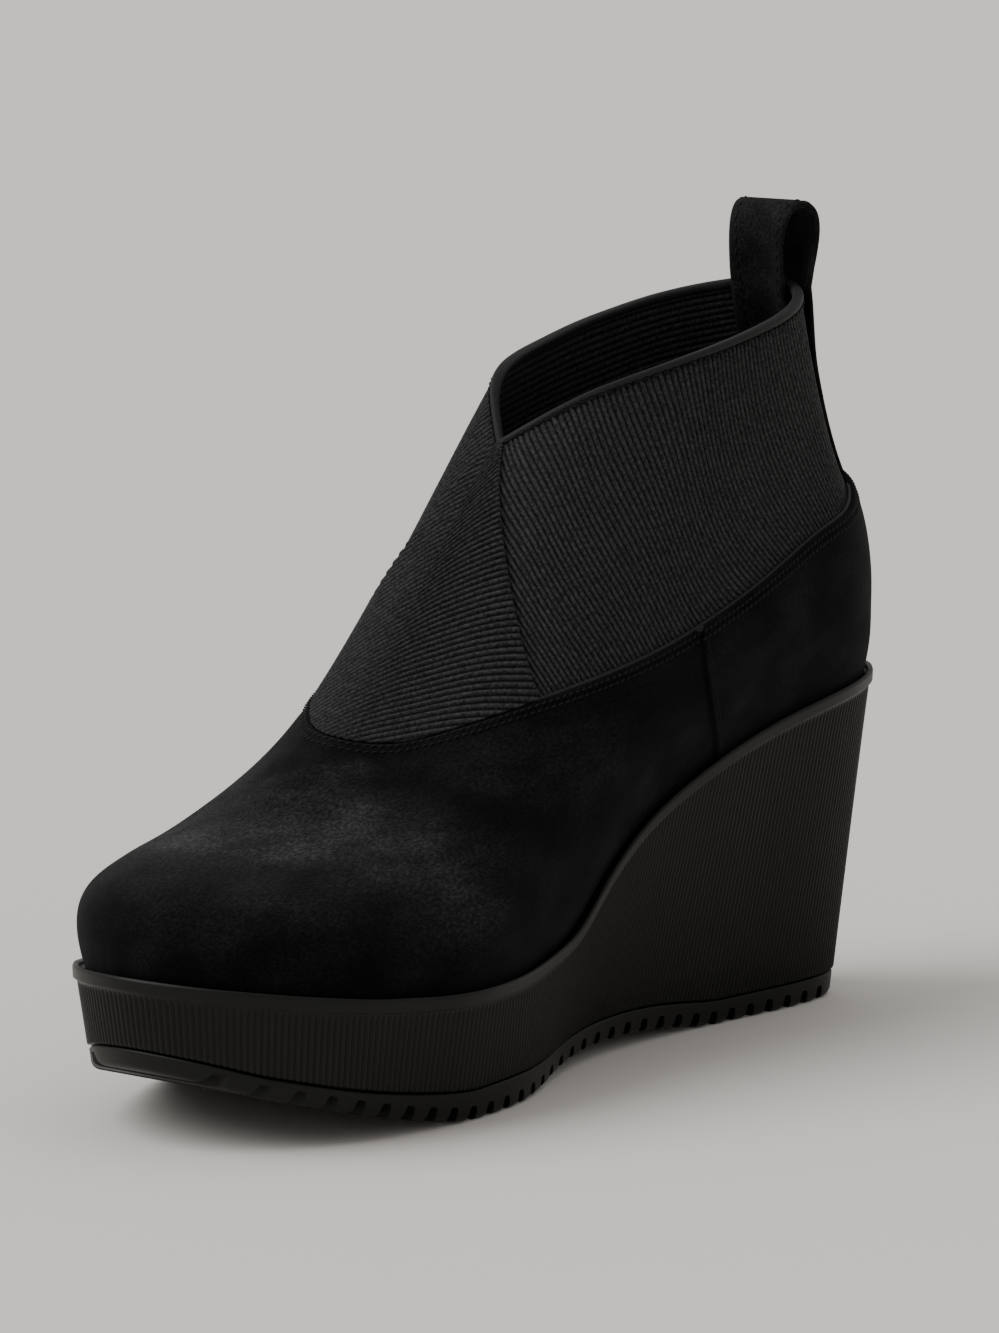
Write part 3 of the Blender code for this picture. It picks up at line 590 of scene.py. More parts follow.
def smooth(low, high, value):
    """Soft step from 0 at `low` to 1 at `high`."""
    share = np.clip((value - low) / (high - low), 0.0, 1.0)
    return share * share * (3 - 2 * share)


# Materials

def finish_of(name, colour, roughness, settings):
    """A material and its shader, with a constant in each socket that `settings` names."""
    material = bpy.data.materials.new(name)
    material.use_nodes = True
    shader = material.node_tree.nodes["Principled BSDF"]
    shader.inputs["Base Color"].default_value = (*colour, 1.0)
    shader.inputs["Roughness"].default_value = roughness
    for socket, value in settings.items():
        shader.inputs[socket].default_value = value
    return material, shader


def node(material, kind, **values):
    """A node whose sockets or properties are set by their names."""
    made = material.node_tree.nodes.new(kind)
    for key, value in values.items():
        if key in made.inputs:
            made.inputs[key].default_value = value
        else:
            setattr(made, key, value)
    return made


def link(material, source, target):
    """Joins one node's output to another's input."""
    material.node_tree.links.new(source, target)


def noise_of(material, scale, detail=3.0, stretch=(1.0, 1.0, 1.0)):
    """Noise over the object's own coordinates; `scale` is in grains per metre."""
    place = node(material, "ShaderNodeTexCoord")
    spread = node(material, "ShaderNodeMapping")
    spread.inputs["Scale"].default_value = stretch
    grain = node(material, "ShaderNodeTexNoise")
    grain.inputs["Scale"].default_value = scale
    grain.inputs["Detail"].default_value = detail
    link(material, place.outputs["Object"], spread.inputs["Vector"])
    link(material, spread.outputs["Vector"], grain.inputs["Vector"])
    return grain.outputs["Fac"]


def ramp_of(material, factor, stops):
    """Colours along a value, from pairs of place and grey or colour."""
    ramp = node(material, "ShaderNodeValToRGB")
    elements = ramp.color_ramp.elements
    while len(elements) < len(stops):
        elements.new(0.5)
    for element, (place, colour) in zip(elements, stops):
        element.position = place
        element.color = (*colour, 1.0) if isinstance(colour, tuple) else (colour,) * 3 + (1.0,)
    link(material, factor, ramp.inputs["Fac"])
    return ramp.outputs["Color"]


def blend_of(material, kind, factor, one, two):
    """Two colours mixed; each input is a number, a colour or another node's output."""
    mix = node(material, "ShaderNodeMix", data_type="RGBA", blend_type=kind)
    for value, socket in ((factor, mix.inputs[0]), (one, mix.inputs[6]), (two, mix.inputs[7])):
        if isinstance(value, (int, float)):
            socket.default_value = value
        elif isinstance(value, tuple):
            socket.default_value = (*value, 1.0)
        else:
            link(material, value, socket)
    return mix.outputs[2]


def bump_of(material, height, distance, strength, before=None):
    """Relief over an earlier one; `distance` is in metres."""
    bump = node(material, "ShaderNodeBump")
    bump.inputs["Distance"].default_value = distance
    bump.inputs["Strength"].default_value = strength
    link(material, height, bump.inputs["Height"])
    if before is not None:
        link(material, before, bump.inputs["Normal"])
    return bump.outputs["Normal"]


def field_of(material, name):
    return node(material, "ShaderNodeAttribute", attribute_name=name).outputs["Fac"]


def suede_finish(name, dark, pale, brushed_nap_and_highlight=False):
    """Napped leather: short fibres, paler clouds of brushed nap with painted highlight, and a
    soft sheen.
    """
    material, shader = finish_of(name, dark, 0.92, {
        "Specular IOR Level": 0.07, "Sheen Weight": 0.035, "Sheen Roughness": 0.45,
        "Sheen Tint": (0.72, 0.74, 0.78, 1.0)})
    clouds = noise_of(material, scale=110.0, detail=7.0, stretch=(1.0, 0.6, 1.0))
    fibres = noise_of(material, scale=1900.0, detail=5.0, stretch=(1.0, 0.5, 1.0))
    tone = ramp_of(material, clouds, [(0.40, dark), (0.66, pale)])
    # Paler streaks where the clouds lie: brushed nap with painted highlight
    if brushed_nap_and_highlight:
        streaks = noise_of(material, scale=150.0, detail=9.0, stretch=(0.7, 0.45, 1.5))
        nap_and_highlight = ramp_of(material, streaks, [(0.30, 0.009), (0.72, 0.034)])
        tone = blend_of(material, "ADD", field_of(material, "brushed_nap_and_highlight"), tone, nap_and_highlight)
    speckle = ramp_of(material, fibres, [(0.34, 0.42), (0.52, 1.0), (0.70, 1.9)])
    colour = blend_of(material, "MULTIPLY", 1.0, tone, speckle)
    link(material, colour, shader.inputs["Base Color"])
    rough = ramp_of(material, clouds, [(0.3, 0.98), (0.75, 0.82)])
    link(material, rough, shader.inputs["Roughness"])
    soft = bump_of(material, clouds, distance=0.00035, strength=0.5)
    nap_bump = bump_of(material, fibres, distance=0.00016, strength=0.7, before=soft)
    link(material, nap_bump, shader.inputs["Normal"])
    return material


def knit_finish(name, dark, pale):
    """Ribbed elastic: fine twisted yarns across each rib, with painted shade in the rib valleys
    and painted highlight on the crests.
    """
    material, shader = finish_of(name, dark, 0.8, {
        "Specular IOR Level": 0.08, "Sheen Weight": 0.03, "Sheen Roughness": 0.5,
        "Sheen Tint": (0.75, 0.75, 0.78, 1.0)})
    yarn = noise_of(material, scale=1500.0, detail=3.0)
    fuzz = noise_of(material, scale=5200.0, detail=2.0)
    # Painted shade and highlight: the crest field darkens the rib valleys and lightens the crests
    crest = ramp_of(material, field_of(material, "crest"), [(0.1, 0.16), (0.85, 1.35)])
    tone = ramp_of(material, yarn, [(0.35, dark), (0.68, pale)])
    link(material, blend_of(material, "MULTIPLY", 1.0, tone, crest), shader.inputs["Base Color"])
    link(material, ramp_of(material, yarn, [(0.3, 0.88), (0.7, 0.7)]), shader.inputs["Roughness"])
    twist = bump_of(material, yarn, distance=0.00022, strength=0.7)
    fuzz_bump = bump_of(material, fuzz, distance=0.00008, strength=0.6, before=twist)
    link(material, fuzz_bump, shader.inputs["Normal"])
    return material


def rubber_finish(name, dark, pale, shine, ribbed=False):
    """Moulded rubber with a faint mould grain and dusty patches; when ribbed, painted shade in
    the rib valleys and slightly lighter crests.
    """
    material, shader = finish_of(name, dark, shine, {
        "Specular IOR Level": 0.16, "Coat Weight": 0.012, "Coat Roughness": 0.3})
    grain = noise_of(material, scale=3400.0, detail=2.0)
    patches = noise_of(material, scale=60.0, detail=4.0)
    tone = ramp_of(material, patches, [(0.35, dark), (0.7, pale)])
    # Painted shade: the crest field darkens the rib valleys and lightens the crests and the bead
    if ribbed:
        rib_shade = ramp_of(material, field_of(material, "crest"), [(0.0, 0.30), (0.8, 1.15)])
        tone = blend_of(material, "MULTIPLY", 1.0, tone, rib_shade)
    link(material, tone, shader.inputs["Base Color"])
    link(material, ramp_of(material, patches, [(0.3, shine - 0.06), (0.7, shine + 0.08)]),
         shader.inputs["Roughness"])
    link(material, bump_of(material, grain, distance=0.00005, strength=0.5),
         shader.inputs["Normal"])
    return material


def tape_finish(name, dark, pale, shine):
    """Smooth woven tape or thread with fine cross yarns."""
    material, shader = finish_of(name, dark, shine, {
        "Specular IOR Level": 0.12, "Sheen Weight": 0.02, "Sheen Roughness": 0.4})
    yarn = noise_of(material, scale=2300.0, detail=3.0, stretch=(1.0, 1.0, 0.35))
    link(material, ramp_of(material, yarn, [(0.35, dark), (0.7, pale)]),
         shader.inputs["Base Color"])
    link(material, ramp_of(material, yarn, [(0.3, shine), (0.7, shine + 0.12)]),
         shader.inputs["Roughness"])
    link(material, bump_of(material, yarn, distance=0.00010, strength=0.6),
         shader.inputs["Normal"])
    return material


# Suede vamp and quarters

SUEDE_COLUMNS = 460
SEAM_COLUMNS = 70                  # extra columns that follow each side seam
CLOSEST_COLUMNS = 0.00035          # nearer columns than this, in turns, are left out
SUEDE_LEVELS = np.concatenate([np.linspace(0.0, 0.93, 58), np.linspace(0.945, 0.99, 6)])
CREASE_START = 0.12                # level under which the creases fade out
SUEDE_BACK = 0.05                  # back of the suede over the base surface
BACK_LEVELS = (0.9, 0.7, 0.5, 0.3, 0.12)
FOLD_START = 0.992                 # level where the edge begins to fold over
FOLD_ANGLES = (25.0, 55.0, 90.0)   # rings round the folded edge, in degrees
PINCH_LEVEL = 0.965                # line that the stitches pull in
PINCH_WIDTH = 0.012
PINCH_DEPTH = 0.22
SEAM_RIDGE = 0.16                  # ridge behind the quarter's edge
RIDGE_PLACE = 1.2                  # its distance from the seam, in reaches of the step
RIDGE_WIDTH = 1.4

# Soft folds: straight strokes between two places, in millimetres across and deep; a trough
# has a depth below zero

CREASES = table("turn level turn_end level_end width depth", [
    (-0.070, 0.560, 0.060, 0.640, 5.0, 0.20),
    (-0.060, 0.720, 0.050, 0.790, 4.5, -0.20),
    (-0.075, 0.830, 0.040, 0.880, 3.5, 0.16),
    (0.040, 0.520, 0.120, 0.330, 6.0, -0.20),
    (0.090, 0.620, 0.170, 0.520, 6.0, 0.18),
    (-0.150, 0.420, -0.080, 0.600, 6.0, -0.16),
    (0.180, 0.700, 0.260, 0.520, 7.0, -0.28),
    (-0.260, 0.520, -0.180, 0.700, 7.0, -0.28),
    (0.360, 0.250, 0.470, 0.380, 6.0, -0.24),
    (0.530, 0.380, 0.640, 0.250, 6.0, -0.24),
])

# Paler patches of brushed nap with painted highlight on the lit vamp and its folds, each a stroke
# with its width in millimetres

BRUSHED_AND_HIGHLIGHT_CLOUDS = table("turn level turn_end level_end width strength", [
    (-0.075, 0.580, 0.040, 0.690, 9.0, 0.60),
    (-0.050, 0.620, 0.030, 0.690, 4.5, 0.40),
    (-0.060, 0.720, 0.050, 0.800, 9.0, 0.45),
    (-0.040, 0.815, -0.005, 0.860, 2.6, 0.35),
    (-0.030, 0.885, 0.035, 0.950, 2.4, 0.35),
    (0.045, 0.780, 0.115, 0.520, 12.0, 0.42),
    (0.095, 0.640, 0.150, 0.340, 11.0, 0.34),
    (0.150, 0.820, 0.230, 0.700, 9.0, 0.20),
    (-0.180, 0.640, -0.090, 0.780, 11.0, 0.45),
    (-0.080, 0.320, 0.060, 0.400, 12.0, 0.20),
])


def near_marks(points, rows, size):
    """Sum of soft strokes over the suede, each a straight line between two places."""
    total = np.zeros(points.shape[:-1])
    for row in rows:
        share = np.linspace(0.0, 1.0, 9)
        path = wall_point(row.turn + (row.turn_end - row.turn) * share,
                          row.level + (row.level_end - row.level) * share, SUEDE_PROUD)
        away = np.full(points.shape[:-1], np.inf)
        for a, b in zip(path, path[1:]):
            run = b - a
            part_way = np.clip(((points - a) @ run) / (run @ run), 0, 1)
            away = np.minimum(away, np.linalg.norm(points - a - part_way[..., None] * run,
                                                   axis=-1))
        total += getattr(row, size) * np.exp(-(away / row.width) ** 2)
    return total


def seam_turn(seam, level):
    """Place of a side seam, which runs back on its way down to the sole."""
    return seam + math.copysign(SEAM_DRIFT, 0.5 - seam) * (1 - np.asarray(level))


def quarter_rise(turn, level):
    """How far the quarter stands over the vamp: a rounded step with a slight ridge."""
    first = (turn - seam_turn(SEAM_TURNS[0], level)) / SEAM_REACH
    last = (seam_turn(SEAM_TURNS[1], level) - turn) / SEAM_REACH
    inside = np.minimum(first, last)
    ridge = SEAM_RIDGE * np.exp(-((inside - RIDGE_PLACE) / RIDGE_WIDTH) ** 2)
    return QUARTER_PROUD * smooth(-0.7, 0.7, inside) + ridge


def suede_turns():
    """Even columns round the shoe, with closer ones across the side seams."""
    even = even_turns(SUEDE_COLUMNS, rim_line)
    extra = [seam + math.copysign(SEAM_DRIFT, 0.5 - seam) * share
             for seam in SEAM_TURNS for share in np.linspace(-0.08, 1.08, SEAM_COLUMNS)]
    turns = np.sort(np.concatenate([even, extra]))
    keep = np.append(True, np.diff(turns) > CLOSEST_COLUMNS)
    return turns[keep]


def build_suede(finish):
    """Suede with its creases, side seams and folded edge, and its back down to the sole."""
    turns = suede_turns()
    rings = []
    brushed_nap_and_highlight = []
    for level in SUEDE_LEVELS:
        rise = SUEDE_PROUD + quarter_rise(turns, level)
        flat = wall_point(turns, level, rise)
        if level == 0.0:
            flat = feather_line(turns) + outward(rim_line, turns) * rise[:, None]
        soft = near_marks(flat, CREASES, "depth") * smooth(0.0, CREASE_START, level)
        pinch = PINCH_DEPTH * math.exp(-((level - PINCH_LEVEL) / PINCH_WIDTH) ** 2)
        rings.append(flat + skin_out(turns, level) * (soft - pinch)[:, None])
        # Mask of the paler clouds: brushed nap with painted highlight
        brushed_nap_and_highlight.append(np.clip(near_marks(flat, BRUSHED_AND_HIGHLIGHT_CLOUDS, "strength"), 0, 1))
    top = SUEDE_PROUD + quarter_rise(turns, 1.0)
    for angle in np.radians(FOLD_ANGLES):
        offset = SUEDE_BACK + (top - SUEDE_BACK) * (1 - 0.5 * (1 - math.cos(angle)))
        level = FOLD_START + (1 - FOLD_START) * math.sin(angle)
        rings.append(wall_point(turns, level, offset))
    rings.append(wall_point(turns, 1.0, SUEDE_BACK + 0.01))
    rings += [wall_point(turns, level, SUEDE_BACK) for level in BACK_LEVELS]
    rings.append(feather_line(turns) + outward(rim_line, turns) * SUEDE_BACK)
    brushed_nap_and_highlight += [np.zeros_like(turns)] * (len(rings) - len(brushed_nap_and_highlight))
    return ring_solid("suede_vamp_quarters", rings, finish, "black_suede",
                      fields={"brushed_nap_and_highlight": brushed_nap_and_highlight}, stands_for=("upper",))


# Elastic side panels

RIBS_IN_A_TURN = 150.0      # ribs met in one turn round the collar
FIRST_RIB = -0.150          # turns at the collar of the first and last rib
LAST_RIB = 0.515
RIB_SWELL = 0.46            # crest over valley
PANEL_FOOT = 0.975          # level where the panels end, under the suede's edge
PANEL_BACK = 0.52           # depth of their back in the wall
PANEL_ROWS = 40
POINTS_IN_A_RIB = 8
FREE_RIBS_START = 0.012     # turn behind which the ribs reach the collar
SHORTEST_RIB = 0.02         # in levels
RIM_SHARE = 0.9             # how near the ribs come to the middle of the binding
OVERLAP = 0.05              # how far a panel runs in under the crossing band, in levels
HEEL_STOP = 0.02            # stretch before the heel back in which the ribs draw together

# How far back a rib drifts on its way down, for its place at the collar

RIB_LEAN = table("start reach", [
    (-0.150, 0.300),
    (0.000, 0.244),
    (0.100, 0.205),
    (0.200, 0.160),
    (0.300, 0.108),
    (0.400, 0.058),
    (0.515, 0.015),
])


def rib_turn(start, level):
    """Place of a rib of the side panel, which runs back as it falls from the collar."""
    drop = 2.0 - level
    lean = np.interp(start, [row.start for row in RIB_LEAN], [row.reach for row in RIB_LEAN])
    turn = start + lean * (1.2 * drop - 0.2 * drop**2)
    last = 0.5 - HEEL_STOP
    past = np.maximum(turn - last, 0.0)
    return np.where(past > 0, last + HEEL_STOP * (1 - np.exp(-past / HEEL_STOP)), turn)


def cover_edge(turn):
    """Level at which the crossing band's edge passes a turn."""
    share = np.clip(np.abs(turn) / BAND_TURNS[0], 0.0, 1.0)
    return 2.0 - (share - BAND_TIP) / (1 - BAND_TIP)


def rib_top(turns):
    """Level where ribs end under the binding."""
    return 2.0 - RIM_SHARE * (2.0 - level_below(2.0, turns, BINDING_HEIGHT / 2))


def build_side_panel(name, finish, mirror):
    """Elastic on one side of the shoe, with a column of points for each rib's rise."""
    count = int((LAST_RIB - FIRST_RIB) * RIBS_IN_A_TURN * POINTS_IN_A_RIB)
    start = np.linspace(FIRST_RIB, LAST_RIB, count)
    phase = start * RIBS_IN_A_TURN
    top = rib_top(np.clip(start, 0.0, 0.5))
    # Near the toe each rib ends under the crossing band, found by halving the distance
    for _ in range(14):
        crossing = cover_edge(rib_turn(start, top)) + OVERLAP
        top = np.where(start < FREE_RIBS_START, np.minimum(top, 0.5 * (top + crossing)), top)
    top = np.maximum(top, PANEL_FOOT + SHORTEST_RIB)
    rib = np.sqrt(np.clip(0.5 + 0.5 * np.cos(2 * math.pi * phase), 0, 1))
    over = []
    under = []
    for k in range(PANEL_ROWS + 1):
        level = top + (PANEL_FOOT - top) * k / PANEL_ROWS
        turn = rib_turn(start, level)
        fade = smooth(0.99, 1.02, level)
        if mirror:
            turn = 1.0 - turn
        over.append(wall_point(turn, level, RIB_SWELL * (rib - 1) * fade - 0.02))
        under.append(wall_point(turn, level, -PANEL_BACK))
    # The crest field carries the painted shade of the rib valleys into the knit
    return slab(name, np.array(over), np.array(under), finish, "charcoal_elastic",
                stands_for=("upper",), fields={"crest": np.tile(rib, (len(over), 1))})


# Inside of the shoe

LINING_COLUMNS = 300
LINING_ROWS = 190
ROWS_IN_A_RIB = 8
LINING_RIBS_END = 1.25      # level where the ribs stop
LINING_SWELL = 0.3
SOCK_LEVELS = (1.2, 1.05, 0.9, 0.7, 0.5, 0.3, 0.12)
SOCK_CREST = 0.4            # tone of the plain sock, between valley and crest


def build_lining(finish):
    """Inside of the shoe: ribs that follow the collar, and a plain sock below."""
    turns = np.arange(LINING_COLUMNS) / LINING_COLUMNS
    top = rib_top(turns)
    rings = []
    crest = []
    for k in range(LINING_ROWS + 1):
        level = top - (top - LINING_RIBS_END) * k / LINING_ROWS
        rib = math.sqrt(0.5 + 0.5 * math.cos(2 * math.pi * k / ROWS_IN_A_RIB))
        rings.append(wall_point(turns, level, -ELASTIC_WALL + LINING_SWELL * (1 - rib)))
        crest.append(np.full_like(turns, rib))
    rings += [wall_point(turns, level, -ELASTIC_WALL) for level in SOCK_LEVELS]
    away = outward(rim_line, turns)
    rings.append(feather_line(turns) - away * ELASTIC_WALL)
    rings.append(feather_line(turns) - away * 0.1)
    rings += [wall_point(turns, level, -0.05) for level in (0.12, 0.3, 0.5, 0.7, 0.9, 0.96)]
    for share in np.linspace(0.0, 1.0, 12):
        level = PANEL_FOOT + (top - PANEL_FOOT) * share
        rings.append(wall_point(turns, level, -PANEL_BACK - 0.04))
    crest += [np.full_like(turns, SOCK_CREST)] * (len(rings) - len(crest))
    # The crest field sets the painted shade of the lining's rib valleys
    return ring_solid("collar_lining", rings, finish, "charcoal_elastic",
                      stands_for=("upper",), fields={"crest": crest})


# Crossing band

BAND_ARC = table("turn climb", [
    (-0.200, 3.3),
    (-0.025, 3.1),
    (0.000, 2.8),
    (0.020, 2.0),
    (0.030, 1.4),
    (0.045, 0.6),
    (0.060, 0.1),
    (0.075, -0.4),
    (0.100, -0.85),
    (0.135, -1.2),
    (0.200, -1.4),
])

BAND_RIBS_IN_A_LEVEL = 48.0
BAND_ROWS = 270
BAND_COLUMNS = 180
BAND_SWELL = 0.48           # crest over valley
BAND_CREST = 0.7            # power that widens the crests
BAND_HEM = 300.0            # how fast the side edges round down, in shares of a turn
BAND_EDGE_SHARE = 0.45      # share of the thickness that is left at the edges


def arc_height(turn):
    """Height of a band rib over its own crown, in levels."""
    fine = np.linspace(BAND_ARC[0].turn, BAND_ARC[-1].turn, 801)
    climb = np.interp(fine, [row.turn for row in BAND_ARC], [row.climb for row in BAND_ARC])
    height = np.append(0.0, np.cumsum((climb[1:] + climb[:-1]) / 2 * np.diff(fine)))
    return np.interp(turn, fine, height - height.max())


def build_band(finish):
    """Upper of the two crossed bands: a triangle whose ribs arch over the instep."""
    inner, outer = BAND_TURNS
    over = []
    under = []
    crest = []
    for row in range(BAND_ROWS + 1):
        share = BAND_TIP + (1 - BAND_TIP) * row / BAND_ROWS
        turn = np.linspace(outer, inner, BAND_COLUMNS + 1) * share
        start = level_below(2.0, turn, BINDING_HEIGHT / 2 - 0.2)
        level = start + (1 + SUEDE_STEP_LEVEL * 0.4 - start) * row / BAND_ROWS
        phase = (level - arc_height(turn)) * BAND_RIBS_IN_A_LEVEL
        rib = (0.5 + 0.5 * np.cos(2 * math.pi * phase)) ** BAND_CREST
        edge = np.minimum(turn - turn[0], turn[-1] - turn) * BAND_HEM
        round_edge = smooth(0.0, 0.7, edge)
        full = BAND_EDGE_SHARE + (1 - BAND_EDGE_SHARE) * round_edge
        lift = BAND_CLEARANCE + BAND_THICKNESS * full
        over.append(wall_point(turn, level, lift + BAND_SWELL * (rib - 1) * round_edge))
        under.append(wall_point(turn, level, 0.04))
        # Crest share for the painted shade of the band's rib valleys
        crest.append(rib)
    return slab("crossing_band_ribs", np.array(over), np.array(under), finish,
                "charcoal_elastic", stands_for=("crossing_band",),
                fields={"crest": np.array(crest)})


# Collar

COLLAR_STITCHES = 100
ROLL_SQUARENESS = 0.75      # 1 is an ellipse, less is squarer
ROLL_PUCKER = 0.035         # how far the roll swells between two stitches


def build_collar_roll(finish, count=300, sides=18):
    """Rolled edge round the collar, drawn in slightly at each of its stitches."""
    turns = np.arange(count) / count
    middle = wall_point(turns, 2.0, -ELASTIC_WALL / 2)
    across = skin_out(turns, 2.0)
    up = skin_way(turns, 2.0)
    rings = []
    for k in range(sides):
        angle = 2 * math.pi * k / sides
        side = math.copysign(abs(math.cos(angle)) ** ROLL_SQUARENESS, math.cos(angle))
        rise = math.copysign(abs(math.sin(angle)) ** ROLL_SQUARENESS, math.sin(angle))
        wave = np.cos(2 * math.pi * turns * COLLAR_STITCHES)
        pucker = 1 + ROLL_PUCKER * wave * (1 if math.sin(angle) < 0 else 0)
        rings.append(middle + across * (side * BINDING_WIDTH * 0.43 * pucker)[:, None]
                     + up * rise * BINDING_HEIGHT * 0.45)
    return ring_solid("collar_roll", rings, finish, "collar_tape",
                      stands_for=("collar_binding",))


def build_collar_stitches(finish):
    """A row of stitches under the rolled edge."""
    turns = (np.arange(COLLAR_STITCHES) + 0.5) / COLLAR_STITCHES
    level = level_below(2.0, turns, BINDING_HEIGHT / 2 + 0.15)
    centre = wall_point(turns, level, 0.28)
    way = skin(turns + 0.002, level) - skin(turns - 0.002, level)
    return stitches("collar_stitches", centre, way, skin_out(turns, level), length=1.7,
                    radius=0.22, finish=finish, slot="collar_tape")


# Pull loop

LOOP_COLUMNS = 23
LOOP_ARCH_STEPS = 34
LOOP_LEG_ROWS = 30
LOOP_CLOSE = 0.5            # how much nearer the legs lie to the wall away from the binding
LOOP_THINNING = 0.1         # how much thinner the strip is at its lower ends
LOOP_HEM = 0.14             # share of the half width that is rounded at each edge
LOOP_CHANNEL = 0.16         # depth of the groove that the stitches lie in
LOOP_CHANNEL_PLACE = 0.80   # where it lies, as a share of the half width
LOOP_CHANNEL_WIDTH = 0.05
LOOP_STITCH_PITCH = 2.6
LOOP_OVERRUN = 1.005        # outer leg, as a share of the wall between collar and suede


def loop_rows(columns, steps):
    """Middle rows of the loop's strip, its thickness direction and where each row lies."""
    across = np.linspace(-0.5, 0.5, columns) * LOOP_WIDTH
    wall_height = np.linalg.norm(skin(0.5, 2.0) - skin(0.5, 1.0))

    def leg(length, side):
        found = []
        for share in np.linspace(0.0, 1.0, LOOP_LEG_ROWS):
            level = 2.0 - share * length / wall_height
            over_binding = smooth(0.45, 0.0, share) * (BINDING_WIDTH - ELASTIC_WALL) / 2
            close = LOOP_CLEARANCE - LOOP_CLOSE * smooth(0.0, 0.4, share)
            lift = close + over_binding + (ELASTIC_WALL if side < 0 else 0.0)
            thick = LOOP_THICKNESS - LOOP_THINNING * smooth(0.0, 0.9, share)
            turns = heel_turns(level, across)
            near = wall_point(turns, level, side * lift)
            far = wall_point(turns, level, side * (lift + thick))
            found.append((near, far))
        return found

    outer_leg = leg(wall_height * LOOP_OVERRUN, 1)
    inner_leg = leg(LOOP_INNER_LEG, -1)
    rows = list(reversed(outer_leg))
    outside = (outer_leg[0][0] + outer_leg[0][1]) / 2
    inside = (inner_leg[0][0] + inner_leg[0][1]) / 2
    middle_column = columns // 2
    for k in range(1, steps):
        angle = math.pi * k / steps
        base = inside + (outside - inside) * (1 + math.cos(angle)) / 2
        rise = LOOP_RISE * math.sin(angle) ** LOOP_SQUARENESS
        bulge = math.sin(angle) ** LOOP_SQUARENESS * math.cos(angle)
        flat = min(1.0, rise / LOOP_RISE)
        level_y = base[:, 1] + (base[:, 1].mean() - base[:, 1]) * flat
        level_z = base[:, 2] + (base[:, 2].mean() - base[:, 2]) * flat
        span = outside[middle_column, 1] - inside[middle_column, 1]
        spread = (LOOP_DEPTH - span) / 2 * bulge
        middle = stack(base[:, 0], level_y + spread, level_z + rise)
        way = np.array([0.0, math.cos(angle), math.sin(angle)])
        rows.append((middle - way * LOOP_THICKNESS / 2, middle + way * LOOP_THICKNESS / 2))
    return rows + inner_leg


def build_loop(finish, thread):
    """Suede strip of the loop, with a sunken row of stitches along each edge."""
    columns = LOOP_COLUMNS
    rows = loop_rows(columns, LOOP_ARCH_STEPS)
    near = np.array([row[0] for row in rows])
    far = np.array([row[1] for row in rows])
    middle = (near + far) / 2
    half = (far - near) / 2
    across = np.linspace(-1.0, 1.0, columns)
    rim = np.clip((np.abs(across) - (1 - LOOP_HEM)) / LOOP_HEM, 0, 1)
    full = np.sqrt(1 - 0.9 * rim**2)
    off_channel = (np.abs(across) - LOOP_CHANNEL_PLACE) / LOOP_CHANNEL_WIDTH
    channel = LOOP_CHANNEL * np.exp(-off_channel ** 2)
    grade = (full - channel)[None, :, None]
    slab("pull_loop_strip", middle + half * grade, middle - half * grade, finish,
         "loop_suede", stands_for=("pull_loop",))
    length = np.append(0.0, np.cumsum(np.linalg.norm(
        np.diff(middle[:, columns // 2], axis=0), axis=1)))
    count = int(length[-1] / LOOP_STITCH_PITCH)
    at = (np.arange(count) + 0.5) / count * length[-1]
    centres = []
    ways = []
    outs = []
    for column, toward in ((2, 3), (columns - 3, columns - 4)):
        line = (middle[:, column] * 0.6 + middle[:, toward] * 0.4)
        lift = half[:, column]
        for sign in (1, -1):
            path = line + lift * sign
            points = np.stack([np.interp(at, length, path[:, k]) for k in range(3)], axis=-1)
            out = np.stack([np.interp(at, length, lift[:, k] * sign) for k in range(3)],
                           axis=-1)
            centres.append(points)
            ways.append(np.gradient(points, axis=0))
            outs.append(unit(out))
    stitches("pull_loop_stitches", np.concatenate(centres), np.concatenate(ways),
             np.concatenate(outs), length=1.9, radius=0.24, finish=thread,
             slot="loop_suede")


# Trims on the suede

EDGE_STITCHES = 228
EDGE_STITCH_ROWS = ((0.95, 0.0), (2.6, 0.5))    # drop under the edge, shift in pitches
EDGE_STITCH_SLANT = 0.42
SEAM_STITCHES = 22
SEAM_STITCH_PLACE = 0.0042                      # how far behind the side seam, in turns
PIPING_RADIUS = 0.46
PIPING_LEVEL = 1.006
PIPING_LIFT = 0.34
PIPING_END = 0.474                              # where it passes under the strip of the loop
PIPING_TUCK = 0.004                             # how far it runs under the crossing band


def build_edge_stitches(finish):
    """Two rows of slanted stitches along the suede's top edge."""
    spaced = even_turns(EDGE_STITCHES, suede_edge)
    centres, ways, outs = [], [], []
    for drop, shift in EDGE_STITCH_ROWS:
        turns = spaced + shift * (spaced[1] - spaced[0])
        level = level_below(1.0, turns, drop)
        normal = skin_out(turns, level)
        round_way = unit(skin(turns + 0.002, level) - skin(turns - 0.002, level))
        rise = SUEDE_PROUD + quarter_rise(turns, level) + 0.05
        centres.append(wall_point(turns, level, rise))
        ways.append(round_way + EDGE_STITCH_SLANT * skin_way(turns, level))
        outs.append(normal)
    return stitches("edge_stitches", np.concatenate(centres), np.concatenate(ways),
                    np.concatenate(outs), length=1.35, radius=0.26, finish=finish,
                    slot="black_suede")


